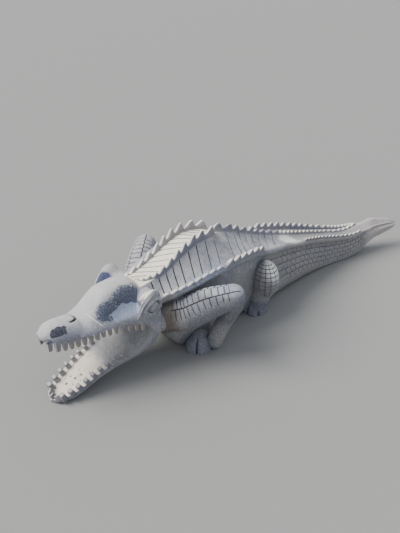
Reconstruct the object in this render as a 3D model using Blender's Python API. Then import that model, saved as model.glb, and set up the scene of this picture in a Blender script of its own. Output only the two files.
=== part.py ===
"""Crocodile statue carved from one block of pale stone.

The animal lies on its belly with its jaws open and its elbows high. It faces -Y, its left side is
+X, +Z is up, and the origin is on the ground under its belly. The carving is set out in parts, 169
of them from the nose to the tip of the tail, so every form follows the statue's length.
"""
import math

import bmesh
import bpy
from mathutils import Vector

# Driving dimension: nose to tail tip, measured straight along Y.
LENGTH = 1.80
PARTS_LONG = 169.0
PART = LENGTH / PARTS_LONG

# Points closer than this are one point, and faces that meet at less than this angle are one face.
WELD = 0.00005
FLAT_ANGLE = math.radians(1.5)

# Stone colour and finish.
STONE_COLOUR = (0.62, 0.61, 0.60, 1.0)
STONE_ROUGHNESS = 0.85

# Trunk and tail, one row for each station, in parts: place along Y, sideways place of the spine,
# height of the back, half width of the strip between the crests, half width and height of the
# flank ridge, half width and height of the lower flank, half width and height of the underside.
TRUNK = (
    (-41, 0.0, 30.4, 4.2, 8.5, 26.3, 7.5, 17.0, 3.0, 14.5),
    (-36, 0.0, 31.2, 4.7, 10.6, 27.2, 8.0, 15.0, 3.0, 12.0),
    (-31, 0.0, 32.2, 5.1, 12.3, 27.9, 8.5, 12.0, 3.4, 7.2),
    (-28.5, 0.0, 33.1, 5.2, 12.9, 28.4, 8.8, 10.0, 4.2, 4.4),
    (-26, 0.0, 34.2, 5.2, 13.5, 28.9, 9.0, 8.4, 5.0, 1.4),
    (-24, 0.0, 35.2, 5.2, 13.9, 29.3, 9.2, 7.8, 5.2, 0.0),
    (-20, 0.0, 36.8, 5.2, 14.4, 30.0, 9.5, 7.0, 5.0, 0.0),
    (-14, 0.0, 38.2, 5.0, 14.9, 30.7, 9.8, 6.0, 5.5, 0.0),
    (-8, 0.0, 37.7, 4.1, 14.8, 30.7, 9.8, 5.5, 5.8, 0.0),
    (-2, 0.0, 36.0, 1.6, 14.3, 30.2, 9.5, 5.5, 5.8, 0.0),
    (6, 0.0, 32.9, 0.9, 13.4, 29.2, 9.0, 5.5, 5.2, 0.0),
    (16, 0.0, 28.3, 0.8, 11.4, 25.8, 9.2, 5.4, 5.2, 0.0),
    (30, 0.0, 22.8, 0.8, 9.3, 21.8, 8.7, 5.5, 2.5, 0.0),
    (40, 0.0, 19.1, 0.8, 8.4, 18.9, 7.9, 5.0, 2.9, 0.0),
    (50, 0.2, 15.8, 0.8, 7.4, 15.8, 7.0, 2.7, 3.6, 0.0),
    (60, 1.2, 12.9, 0.8, 6.7, 12.7, 6.4, 1.3, 5.3, 0.0),
    (65, 2.8, 11.9, 0.8, 6.2, 11.7, 5.9, 1.3, 4.8, 0.0),
    (70, 4.8, 11.5, 0.7, 5.2, 11.2, 4.9, 2.0, 3.6, 0.0),
    (74, 6.2, 12.0, 0.6, 4.4, 11.5, 4.2, 3.5, 2.4, 0.4),
    (78, 7.3, 13.2, 0.6, 3.7, 11.6, 3.8, 6.0, 2.0, 3.0),
    (82, 8.4, 14.1, 0.8, 3.0, 12.0, 3.6, 8.0, 1.6, 5.2),
    (87, 10.5, 13.2, 0.8, 2.4, 11.9, 3.0, 9.4, 1.3, 6.8),
    (91, 12.5, 12.2, 0.6, 1.5, 11.3, 2.0, 9.9, 0.9, 8.2),
    (93, 13.6, 11.0, 0.3, 0.6, 10.7, 0.8, 10.1, 0.4, 9.5),
)
RIDGE_LIP = 1.6
RIDGE_OVERHANG = 1.9
PANEL_STEPS = 2
PANEL_SAG = 1.1
FLANK_STEPS = 1

# Where the neck begins inside the head and the tail ends, then the rib grooves across each side panel:
# the first and last, and how far they lean forward at the first, and from the middle of the trunk on,
# until they stand upright again near the end of the tail.
NECK = -40.5
TIP = 93.0
GROOVE_FIRST = -36.0
GROOVE_LAST = 27.0
GROOVES = 16
GROOVE_WIDTH = 0.55
GROOVE_DEPTH = 0.45
GROOVE_LEAN = (0.5, 6.4)
GROOVE_MIDDLE = 3.0
GROOVE_UPRIGHT = 62.0
TAIL_START = 2.5
TAIL_RINGS = 16

# Rows of crest teeth, in parts: first and last tooth along Y, number of teeth, height of the first,
# middle and last tooth, thickness, and how deep the row is rooted in the body.
SPINE_CREST = (-3.0, 75.0, 26, 3.2, 2.0, 0.9, 1.6, 1.2)
SHOULDER_CREST_NEAR = (-38.6, -3.0, 12, 1.3, 3.4, 3.3, 1.7, 1.2)
SHOULDER_CREST_FAR = (-39.5, -3.1, 12, 1.2, 3.4, 3.3, 1.7, 1.2)
TAIL_RIDGE_FAR = (25.0, 74.0, 15, 2.6, 2.4, 1.0, 1.3, 0.4)
FLANK_TEETH_NEAR = (-10.0, 10.0, 5, 1.4, 1.8, 1.2, 1.3, 0.4)
TAIL_RIDGE_NEAR = (40.0, 74.0, 12, 0.9, 1.3, 0.8, 1.2, 0.4)
RIDGE_TEETH_INSET = 1.6
CREST_INSET = 0.65
TOOTH_LEAN = 0.72
FAR_TEETH_UPRIGHT = 0.9
NEAR_TEETH_UPRIGHT = 0.6
NOTCH_SHARE = 0.46

# The near shoulder crest bends in across the neck: place along Y and sideways place.
CREST_BEND = ((-38.9, -2.8), (-38.4, -1.4), (-37.9, 0.2), (-36.7, 2.2), (-34.6, 3.4), (-32.8, 4.4),
              (-31.0, 4.6))

# Upper jaw and skull, in parts: place along Y, half width, height of the top, height of the lip,
# and how boxy the section is.
UPPER_JAW = (
    (-75.8, 0.9, 26.6, 25.4, 2.0), (-75.0, 2.4, 27.4, 25.0, 2.0), (-74.0, 3.6, 28.3, 24.5, 2.0),
    (-72.4, 4.6, 29.2, 24.0, 2.0), (-70, 5.3, 29.3, 23.5, 2.0), (-67, 5.8, 28.7, 23.0, 2.0),
    (-64, 6.3, 28.2, 22.6, 2.0), (-61, 6.9, 26.6, 22.3, 2.0), (-57, 7.4, 26.6, 22.5, 2.2),
    (-53, 8.3, 26.8, 22.2, 2.6), (-49, 9.4, 26.9, 21.8, 3.2), (-46, 10.6, 27.0, 21.2, 3.8),
    (-43, 11.5, 27.0, 20.2, 4.2), (-41.4, 11.9, 27.0, 18.2, 4.4), (-38.0, 12.0, 26.6, 14.0, 4.6),
    (-36.4, 11.5, 26.0, 14.0, 4.2), (-35.3, 10.0, 25.0, 15.5, 3.6),
)
JAW_SIDES = 12
JAW_KEEL = 1.12
SNOUT_STATIONS = (-75.8, -75.2, -74, -72, -69.5, -67, -64.5, -62, -59, -55.5, -52, -48.5, -45.5, -43,
                  -41.4, -38, -36.4, -35.3)

# Lower jaw, in parts: place along Y, half width, height of the rim, height of the floor, half width
# and height of the underside, and share of the half width that is floor.
LOWER_JAW = (
    (-75.2, 0.8, 1.3, 1.1, 0.6, 0.3, 0.7), (-74.4, 2.4, 1.7, 1.5, 1.9, 0.0, 0.7),
    (-72.6, 3.9, 2.1, 1.8, 2.9, 0.0, 0.7), (-70, 5.1, 3.0, 2.5, 3.9, 0.1, 0.7),
    (-66, 6.1, 4.5, 3.9, 4.6, 1.2, 0.7), (-62, 6.6, 6.3, 5.7, 5.0, 2.8, 0.7),
    (-58, 7.0, 7.7, 7.2, 5.3, 4.0, 0.72), (-54, 7.5, 8.7, 8.4, 5.8, 5.0, 0.76),
    (-50, 8.5, 9.3, 9.3, 6.6, 6.1, 0.82), (-48, 9.0, 9.7, 9.7, 7.0, 6.6, 0.88),
    (-46.3, 9.4, 10.1, 10.3, 7.4, 7.1, 0.92), (-44.5, 10.0, 11.0, 11.3, 7.8, 7.6, 0.93),
    (-43.1, 10.5, 12.2, 12.6, 8.0, 8.0, 0.93), (-42, 10.9, 13.5, 14.2, 8.3, 8.4, 0.93),
    (-41.1, 11.3, 15.0, 16.0, 8.5, 8.8, 0.93), (-40.6, 11.4, 18.0, 20.8, 8.6, 9.0, 0.92),
    (-38.4, 11.8, 20.0, 20.8, 9.0, 9.8, 0.9), (-36.6, 11.3, 20.0, 20.0, 8.4, 12.0, 0.9),
    (-35.4, 9.8, 19.5, 19.5, 7.4, 13.5, 0.9),
)

JAW_STATIONS = (-75.2, -74.4, -73, -71, -68.5, -66, -63, -60, -57, -53.7, -51, -48, -46, -44, -42.6,
                -41.4, -40.6, -38.4, -36.6, -35.4)

# Forehead, a long steep-sided dome, in parts: place along Y, half width and height of the top.
DOME = (
    (-64.5, 4.2, 24.2), (-62.0, 5.2, 25.8), (-58.5, 6.0, 28.6), (-55.0, 6.5, 31.8), (-51.5, 6.8, 33.8),
    (-46.0, 6.8, 34.0), (-42.0, 6.6, 33.2), (-39.6, 5.6, 31.2), (-38.4, 4.0, 28.6),
)
DOME_ROOT = 23.0
DOME_BOXY = 2.7
DOME_SIDES = 10

# Ear-like eye turrets: place along Y and height of the rim.
TURRET_RIM = ((-46.4, 24.8), (-45.1, 27.0), (-44.2, 29.0), (-42.7, 30.9), (-41.3, 32.3), (-39.6, 33.0),
              (-38.2, 32.4), (-37.0, 30.2), (-36.4, 28.2))
TURRET_OUT = 12.25
TURRET_PROUD = 0.3
TURRET_IN = 7.0
TURRET_ROOT = 22.0
TURRET_LEAST = 2.5

# Limbs, in parts: centre line points and radius at each, for the near side; mirrored for the far.
UPPER_ARM = (((9.0, -33.5, 18.5), 5.2), ((13.4, -27.6, 19.3), 5.8), ((18.5, -21.4, 22.9), 5.4),
             ((23.75, -15.25, 25.5), 4.2))
FOREARM = (((23.3, -15.1, 24.0), 3.7), ((21.7, -14.3, 18.6), 3.1), ((18.05, -14.9, 11.0), 2.9),
           ((16.0, -16.9, 3.8), 3.0))
SHIN = (((11.4, 12.2, 12.0), 4.2), ((10.4, 11.8, 7.0), 4.0), ((9.4, 11.3, 3.0), 3.9))
LIMB_SIDES = 10

# Knees of the hind legs, which stand out of the flank: centre and radii.
KNEE_CENTRE = (12.4, 12.4, 15.2)
KNEE_RADII = (5.4, 4.8, 7.8)

# Feet, in parts: centre on the ground, half width, length forward, height, number of toes.
FOREFOOT = ((11.3, -19.6), 5.3, 5.9, 7.0, 5)
HINDFOOT = ((8.9, 11.2), 4.4, 4.5, 6.0, 5)
TOE_DEPTH = 0.16
FOOT_RINGS = 4
FOOT_SIDES = 22

# Teeth in the jaws: number along each side, first and last place along Y, length and half width.
UPPER_TEETH, UPPER_FIRST, UPPER_LAST = 15, -74.0, -43.5
UPPER_TOOTH = (2.6, 0.9)
LOWER_TEETH, LOWER_FIRST, LOWER_LAST = 9, -72.4, -50.8
LOWER_TOOTH = (1.7, 1.05)
FRONT_TOOTH = (0.0, -74.2, 1.0)


def smooth(table, column, place):
    """A column of a station table at a place, by a monotone cubic through the stations."""
    places = [row[0] for row in table]
    values = [row[column] for row in table]
    if place <= places[0]:
        return values[0]
    if place >= places[-1]:
        return values[-1]
    spans = [b - a for a, b in zip(places, places[1:])]
    slopes = [(b - a) / span for a, b, span in zip(values, values[1:], spans)]
    tangents = [slopes[0]]
    for left, right in zip(slopes, slopes[1:]):
        tangents.append(0.0 if left * right <= 0 else 2 * left * right / (left + right))
    tangents.append(slopes[-1])
    index = max(i for i, start in enumerate(places) if start <= place)
    span = spans[index]
    t = (place - places[index]) / span
    return (values[index] * (1 + 2 * t) * (1 - t) ** 2 + tangents[index] * span * t * (1 - t) ** 2
            + values[index + 1] * t * t * (3 - 2 * t) + tangents[index + 1] * span * t * t * (t - 1))


def new_object(name, mesh_data):
    """Put a bmesh, drawn in parts, into the scene at its real size."""
    bmesh.ops.triangulate(mesh_data, faces=mesh_data.faces[:])
    if mesh_data.calc_volume(signed=True) < 0:
        bmesh.ops.reverse_faces(mesh_data, faces=mesh_data.faces[:])
    bmesh.ops.scale(mesh_data, vec=(PART, PART, PART), verts=mesh_data.verts[:])
    mesh = bpy.data.meshes.new(name)
    mesh_data.to_mesh(mesh)
    mesh_data.free()
    body = bpy.data.objects.new(name, mesh)
    bpy.context.scene.collection.objects.link(body)
    return body


def skin(name, rings):
    """A closed body with one ring of points at each station, capped by a fan at both ends."""
    mesh_data = bmesh.new()
    rows = [[mesh_data.verts.new(point) for point in ring] for ring in rings]
    for row, after in zip(rows, rows[1:]):
        for i in range(len(row)):
            j = (i + 1) % len(row)
            mesh_data.faces.new((row[i], row[j], after[j], after[i]))
    for row, first, second in ((rows[0], 1, 0), (rows[-1], 0, 1)):
        middle = mesh_data.verts.new(sum((vert.co for vert in row), Vector()) / len(row))
        for i in range(len(row)):
            pair = (row[i], row[(i + 1) % len(row)])
            mesh_data.faces.new((pair[first], pair[second], middle))
    return new_object(name, mesh_data)


def mirrored(points):
    """The same points on the animal's other side."""
    return [Vector((-x, y, z)) for x, y, z in points]


def groove_slant(place):
    """How far forward a rib groove runs between the crest and the flank ridge."""
    first, most = GROOVE_LEAN
    if place < GROOVE_FIRST:
        return first * max(0.0, (place - NECK) / (GROOVE_FIRST - NECK))
    if place > GROOVE_LAST:
        return most * max(0.0, (GROOVE_UPRIGHT - place) / (GROOVE_UPRIGHT - GROOVE_LAST))
    return first + (most - first) * min(1.0, (place - GROOVE_FIRST) / (GROOVE_MIDDLE - GROOVE_FIRST))


def trunk_half(place):
    """Near half of the trunk's section at a place: share of the grooves' slant, how far out from the
    spine, and height."""
    _, top, strip, ridge, ridge_z, side, side_z, sole, sole_z = (
        smooth(TRUNK, column, place) for column in range(1, 10))
    fade = min(1.0, max(0.0, (80 - place) / 10))
    overhang = RIDGE_OVERHANG * min(1.0, ridge / 8) * fade
    half = [(0.0, strip, top)]
    for step in range(1, PANEL_STEPS + 1):
        t = step / (PANEL_STEPS + 1)
        sag = PANEL_SAG * 4 * t * (1 - t) * min(1.0, (ridge - strip) / 12) * fade
        half.append((t, strip + (ridge - strip) * t, top + (ridge_z - top) * t - sag))
    half.append((1.0, ridge, ridge_z))
    lip_z = ridge_z - RIDGE_LIP * min(1.0, ridge / 6)
    half.append((1.0, ridge - overhang, lip_z))
    for step in range(1, FLANK_STEPS + 1):
        t = step / FLANK_STEPS
        x = ridge - overhang + (side - ridge + overhang) * t + 0.5 * 4 * t * (1 - t)
        half.append((1 - t, x, lip_z + (side_z - lip_z) * t))
    half.append((0.0, (side + sole) / 2 + 0.3 * (side - sole), sole_z + 0.32 * (side_z - sole_z)))
    half.append((0.0, sole, sole_z))
    return half


def trunk_ring(place, groove):
    """The trunk's section at a place along Y; groove is how deep the side panels are cut there."""
    slant = groove_slant(place)
    right, left = [], []
    for index, (share, _, _) in enumerate(trunk_half(place)):
        y = place - slant * share
        _, x, z = trunk_half(y)[index]
        if 1 <= index <= PANEL_STEPS:
            z -= groove
        spine = smooth(TRUNK, 1, y)
        right.append(Vector((spine + x, y, z)))
        left.append(Vector((spine - x, y, z)))
    spine, top, sole_z = (smooth(TRUNK, column, place) for column in (1, 2, 9))
    return [Vector((spine, place, top))] + right + [Vector((spine, place, sole_z))] + left[::-1]


def make_trunk():
    """Neck, trunk and tail, with the rib grooves cut into the side panels."""
    rings = [trunk_ring(NECK, 0.0)]
    pitch = (GROOVE_LAST - GROOVE_FIRST) / (GROOVES - 1)
    for index in range(GROOVES):
        place = GROOVE_FIRST + pitch * index
        rings.append(trunk_ring(place - GROOVE_WIDTH, 0.0))
        rings.append(trunk_ring(place, GROOVE_DEPTH))
        rings.append(trunk_ring(place + GROOVE_WIDTH, 0.0))
    tail_first = GROOVE_LAST + TAIL_START
    for index in range(TAIL_RINGS + 1):
        share = index / TAIL_RINGS
        rings.append(trunk_ring(tail_first + (TIP - tail_first) * share ** 0.85, 0.0))
    return skin("trunk", rings)


def crest(name, row, line):
    """A row of shark-fin teeth along a line: gentle in front, steep behind."""
    first, last, count, height_first, height_middle, height_last, thickness, root = row
    pitch = (last - first) / count
    rings = []
    for index in range(count):
        share = (index + 0.5) / count
        if share < 0.5:
            height = height_first + (height_middle - height_first) * share * 2
        else:
            height = height_middle + (height_last - height_middle) * (share * 2 - 1)
        start = first + pitch * index
        for place, rise in ((start, NOTCH_SHARE * height), (start + TOOTH_LEAN * pitch, height)):
            foot, out = line(place)
            rings.append(fin_section(foot, out, rise, thickness, root))
    foot, out = line(last)
    rings.append(fin_section(foot, out, 0.1, thickness, root))
    return skin(name, rings)


def fin_section(foot, out, rise, thickness, root):
    """Four corners of a crest: two sunk in the body and two at the top, which is narrower."""
    side = Vector((thickness / 2, 0, 0))
    lift = out * rise
    sunk = foot - Vector((0, 0, root))
    return [sunk + side, foot + lift + side * 0.7, foot + lift - side * 0.7, sunk - side]


def spine_line(place):
    """Middle of the back, which drifts to the far side near the end of the tail."""
    drift = 1.6 * max(0.0, (place - 66) / 9) if place > 66 else 0.0
    return (Vector((smooth(TRUNK, 1, place) - drift, place, smooth(TRUNK, 2, place) - 0.1)),
            Vector((0, 0, 1)))


def shoulder_line(side):
    """Edge of the strip between the shoulder crests; the near one bends in across the neck."""
    def line(place):
        x = smooth(TRUNK, 3, place) - CREST_INSET
        if side > 0 and place < CREST_BEND[-1][0]:
            x = min(x, smooth(CREST_BEND, 1, place))
        return (Vector((side * x, place, smooth(TRUNK, 2, place) - 0.1)), Vector((side * 0.06, 0, 1)))
    return line


def ridge_line(side, upright):
    """Edge of the flank ridge along the tail."""
    def line(place):
        x = smooth(TRUNK, 1, place) + side * (smooth(TRUNK, 4, place) - RIDGE_TEETH_INSET)
        return (Vector((x, place, smooth(TRUNK, 5, place) - 0.1)),
                Vector((side * (1 - upright), 0, upright)))
    return line


def make_upper_jaw():
    """Snout, cheeks and the flat skull behind them, from the nose to the back of the head."""
    rings = []
    for place in SNOUT_STATIONS:
        half, top, lip, boxy = (smooth(UPPER_JAW, column, place) for column in range(1, 5))
        ring = []
        for step in range(JAW_SIDES):
            angle = 2 * math.pi * (step + 0.5) / JAW_SIDES
            across, up = math.sin(angle), math.cos(angle)
            x = half * math.copysign(abs(across) ** (2 / boxy), across)
            if up > 0:
                z = lip + (top - lip) * (0.2 + 0.8 * up ** (2 / boxy))
            else:
                z = lip + (top - lip) * 0.2 * (1 - (-up) ** (2 / boxy))
            ring.append(Vector((x, place, z)))
        rings.append(ring)
    return skin("upper_jaw", rings)


def make_lower_jaw():
    """Spoon-shaped lower jaw with a shallow floor, widening into the cheeks."""
    rings = []
    for place in JAW_STATIONS:
        half, rim, floor, under, base, flat = (smooth(LOWER_JAW, column, place) for column in range(1, 7))
        profile = [(half * flat, floor), (half * (0.5 + 0.5 * flat), rim), (half, rim - 0.2),
                   (half * 1.0, base + 0.55 * (rim - base)), (under * JAW_KEEL, base + 0.16 * (rim - base)),
                   (under * 0.7, base)]
        right = [Vector((x, place, z)) for x, z in profile]
        rings.append([Vector((0, place, floor))] + right + [Vector((0, place, base))]
                     + mirrored(right)[::-1])
    return skin("lower_jaw", rings)


def make_dome():
    """Steep-sided dome of the forehead, from the snout to the back of the skull."""
    rings = []
    for place, half, top in DOME:
        ring = []
        for step in range(DOME_SIDES + 1):
            angle = math.pi * (step / DOME_SIDES - 0.5)
            x = half * math.copysign(abs(math.sin(angle)) ** (2 / DOME_BOXY), math.sin(angle))
            z = DOME_ROOT + (top - DOME_ROOT) * abs(math.cos(angle)) ** (2 / DOME_BOXY)
            ring.append(Vector((x, place, z)))
        rings.append(ring)
    return skin("dome", rings)


def make_turret(side):
    """Ear-like turret: an upright outer face with the eye, and a face sloping in behind it."""
    rings = []
    for place, rim in TURRET_RIM:
        out = min(TURRET_OUT, smooth(UPPER_JAW, 1, place) + TURRET_PROUD)
        root = min(TURRET_ROOT, rim - TURRET_LEAST)
        rings.append([Vector((side * x, place, z)) for x, z in (
            (out - 0.6, root), (out, root + 1.0), (out, rim - 0.6), (out - 0.8, rim),
            (out - 2.0, rim - 0.8), (TURRET_IN, root))])
    return skin("turret", rings)


def limb(name, spans, side):
    """A rounded limb: rings around a centre line, closing to a blunt end at both ends."""
    centres = [Vector(point) for point, radius in spans]
    radii = [radius for point, radius in spans]
    rings = []
    count = len(centres)
    for index, (centre, radius) in enumerate(zip(centres, radii)):
        along = (centres[min(index + 1, count - 1)] - centres[max(index - 1, 0)]).normalized()
        first = along.cross(Vector((0, 0, 1)))
        if first.length < 0.3:
            first = along.cross(Vector((0, 1, 0)))
        first.normalize()
        second = along.cross(first)
        stages = ((0.0, 1.0),)
        if index == 0:
            stages = ((-0.92, 0.42), (-0.62, 0.8), (0.0, 1.0))
        if index == count - 1:
            stages = ((0.0, 1.0), (0.5, 0.87), (0.86, 0.5))
        for shift, share in stages:
            middle = centre + along * shift * radius
            ring = []
            for step in range(LIMB_SIDES):
                angle = 2 * math.pi * step / LIMB_SIDES
                point = middle + (first * math.cos(angle) + second * math.sin(angle)) * radius * share
                ring.append(Vector((side * point.x, point.y, point.z)))
            rings.append(ring)
    return skin(name, rings)


def make_knee(side):
    """Tall rounded knee of a hind leg."""
    mesh_data = bmesh.new()
    bmesh.ops.create_uvsphere(mesh_data, u_segments=12, v_segments=8, radius=1.0)
    bmesh.ops.scale(mesh_data, vec=KNEE_RADII, verts=mesh_data.verts[:])
    x, y, z = KNEE_CENTRE
    bmesh.ops.translate(mesh_data, vec=(side * x, y, z), verts=mesh_data.verts[:])
    return new_object("knee", mesh_data)


def make_foot(name, foot, side):
    """A rounded paw with its toes cut as lobes around the front."""
    (x, y), half, forward, height, toes = foot
    rings = []
    for level in range(FOOT_RINGS):
        rise = level / (FOOT_RINGS - 1)
        share = math.sqrt(max(0.05, 1 - (0.92 * rise) ** 2))
        ring = []
        for step in range(FOOT_SIDES):
            angle = 2 * math.pi * step / FOOT_SIDES
            across, ahead = math.sin(angle), math.cos(angle)
            lobe = 1.0
            if ahead > -0.35:
                lobe = 1 - TOE_DEPTH * (1 - abs(math.sin(angle * toes / 2 + math.pi * toes / 2))) ** 2
            ring.append(Vector((side * (x + across * half * share * lobe),
                                y - ahead * forward * share * lobe,
                                height * (rise - 0.06))))
        rings.append(ring)
    return skin(name, rings)


def peg(name, foot, tip, half_along, half_across):
    """A blunt four-sided tooth from its root to its tip."""
    rings = []
    for centre, share in ((foot, 1.0), (tip, 0.62)):
        rings.append([centre + Vector((dx * half_across * share, dy * half_along * share, 0))
                      for dx, dy in ((1, 1), (-1, 1), (-1, -1), (1, -1))])
    return skin(name, rings)


def make_upper_teeth():
    """Blunt pegs hanging from the lip, smaller towards the corner of the mouth."""
    teeth = []
    length, half_width = UPPER_TOOTH
    for index in range(UPPER_TEETH):
        share = index / (UPPER_TEETH - 1)
        place = UPPER_FIRST + (UPPER_LAST - UPPER_FIRST) * share
        out = smooth(UPPER_JAW, 1, place) - 1.1
        lip = smooth(UPPER_JAW, 3, place)
        size = 1.0 - 0.35 * share
        for side in (1, -1):
            foot = Vector((side * out, place, lip + 0.9))
            tip = foot + Vector((0, 0, -0.9 - length * size))
            teeth.append(peg("upper_tooth", foot, tip, half_width * size, half_width * 0.8))
    return teeth


def make_lower_teeth():
    """Wedge-shaped blocks around the rim of the lower jaw."""
    teeth = []
    length, half_width = LOWER_TOOTH
    for index in range(LOWER_TEETH):
        share = index / (LOWER_TEETH - 1)
        place = LOWER_FIRST + (LOWER_LAST - LOWER_FIRST) * share
        out = smooth(LOWER_JAW, 1, place) * 0.88
        rim = smooth(LOWER_JAW, 2, place)
        size = 1.0 - 0.3 * share
        for side in (1, -1):
            foot = Vector((side * out, place, rim - 0.8))
            tip = foot + Vector((side * 0.1, 0, 0.8 + length * size))
            teeth.append(peg("lower_tooth", foot, tip, half_width * size, half_width * 0.8))
    foot = Vector(FRONT_TOOTH)
    teeth.append(peg("lower_tooth", foot, foot + Vector((0, 0.2, length)), 0.7, half_width))
    return teeth


def stone():
    """Pale matt stone."""
    material = bpy.data.materials.new("stone")
    material.use_nodes = True
    shader = material.node_tree.nodes["Principled BSDF"]
    shader.inputs["Base Color"].default_value = STONE_COLOUR
    shader.inputs["Roughness"].default_value = STONE_ROUGHNESS
    shader.inputs["Metallic"].default_value = 0.0
    return material


def apply_boolean(body, operation, other):
    """Join another body to this one, or cut it away, and remove it."""
    modifier = body.modifiers.new("join", "BOOLEAN")
    modifier.operation = operation
    modifier.solver = "EXACT"
    modifier.object = other
    evaluated = body.evaluated_get(bpy.context.evaluated_depsgraph_get())
    mesh = bpy.data.meshes.new_from_object(evaluated)
    body.modifiers.clear()
    body.data = mesh
    bpy.data.objects.remove(other)


def ground_block():
    """Everything below the ground, which the belly and the soles are cut flat by."""
    mesh_data = bmesh.new()
    bmesh.ops.create_cube(mesh_data, size=1.0)
    bmesh.ops.scale(mesh_data, vec=(80, 240, 20), verts=mesh_data.verts[:])
    bmesh.ops.translate(mesh_data, vec=(0, 0, -10), verts=mesh_data.verts[:])
    return new_object("ground", mesh_data)


def merge_flat_faces(body):
    """Melt the seams that the joins leave across flat faces, such as those under the belly."""
    mesh_data = bmesh.new()
    mesh_data.from_mesh(body.data)
    bmesh.ops.remove_doubles(mesh_data, verts=mesh_data.verts[:], dist=WELD)
    bmesh.ops.dissolve_limit(mesh_data, angle_limit=FLAT_ANGLE, use_dissolve_boundaries=False,
                             verts=mesh_data.verts[:], edges=mesh_data.edges[:])
    bmesh.ops.triangulate(mesh_data, faces=mesh_data.faces[:])
    loose = [edge for edge in mesh_data.edges if not edge.link_faces]
    bmesh.ops.delete(mesh_data, geom=loose, context="EDGES")
    mesh_data.to_mesh(body.data)
    mesh_data.free()


def main():
    for leftover in list(bpy.data.objects):
        bpy.data.objects.remove(leftover)
    crocodile = make_trunk()
    forms = [make_upper_jaw(), make_lower_jaw(), make_dome()]
    forms.append(crest("spine_crest", SPINE_CREST, spine_line))
    for side in (1, -1):
        row = SHOULDER_CREST_NEAR if side > 0 else SHOULDER_CREST_FAR
        forms.append(crest("shoulder_crest", row, shoulder_line(side)))
        forms.append(make_turret(side))
        forms.append(limb("upper_arm", UPPER_ARM, side))
        forms.append(limb("forearm", FOREARM, side))
        forms.append(make_knee(side))
        forms.append(limb("shin", SHIN, side))
        forms.append(make_foot("forefoot", FOREFOOT, side))
        forms.append(make_foot("hindfoot", HINDFOOT, side))
    forms.append(crest("tail_ridge", TAIL_RIDGE_FAR, ridge_line(-1, FAR_TEETH_UPRIGHT)))
    forms.append(crest("flank_teeth", FLANK_TEETH_NEAR, ridge_line(1, NEAR_TEETH_UPRIGHT)))
    forms.append(crest("tail_ridge", TAIL_RIDGE_NEAR, ridge_line(1, NEAR_TEETH_UPRIGHT)))
    forms.extend(make_upper_teeth())
    forms.extend(make_lower_teeth())
    for form in forms:
        apply_boolean(crocodile, "UNION", form)
    apply_boolean(crocodile, "DIFFERENCE", ground_block())
    merge_flat_faces(crocodile)
    crocodile.name = "crocodile"
    crocodile.data.name = "crocodile"
    crocodile.data.materials.clear()
    crocodile.data.materials.append(stone())


main()
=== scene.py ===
import math
from bisect import bisect_right

import bmesh
import bpy
from mathutils import Matrix, Vector, noise


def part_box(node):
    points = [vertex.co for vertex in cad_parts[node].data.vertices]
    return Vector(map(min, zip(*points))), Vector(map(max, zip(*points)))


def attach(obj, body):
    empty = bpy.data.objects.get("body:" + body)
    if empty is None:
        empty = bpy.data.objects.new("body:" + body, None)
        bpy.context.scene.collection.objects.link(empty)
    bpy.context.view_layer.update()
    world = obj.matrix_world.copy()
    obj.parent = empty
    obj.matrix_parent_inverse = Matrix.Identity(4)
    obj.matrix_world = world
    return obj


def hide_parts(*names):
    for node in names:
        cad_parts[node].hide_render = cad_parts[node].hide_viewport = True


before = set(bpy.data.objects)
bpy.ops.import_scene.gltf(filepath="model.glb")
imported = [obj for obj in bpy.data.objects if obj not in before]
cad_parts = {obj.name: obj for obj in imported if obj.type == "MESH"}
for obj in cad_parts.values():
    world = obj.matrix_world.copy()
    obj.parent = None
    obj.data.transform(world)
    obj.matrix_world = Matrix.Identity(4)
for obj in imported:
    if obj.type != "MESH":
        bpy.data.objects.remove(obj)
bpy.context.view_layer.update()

# The statue is set out in parts, as a carver rules a block: 168.8 of them from the nose to the tip of
# the tail. It faces -Y, its left side is +X, and the origin is on the ground under its belly.
LOW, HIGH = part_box("crocodile")
PARTS_LONG = 168.8
PART = (HIGH.y - LOW.y) / PARTS_LONG

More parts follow.
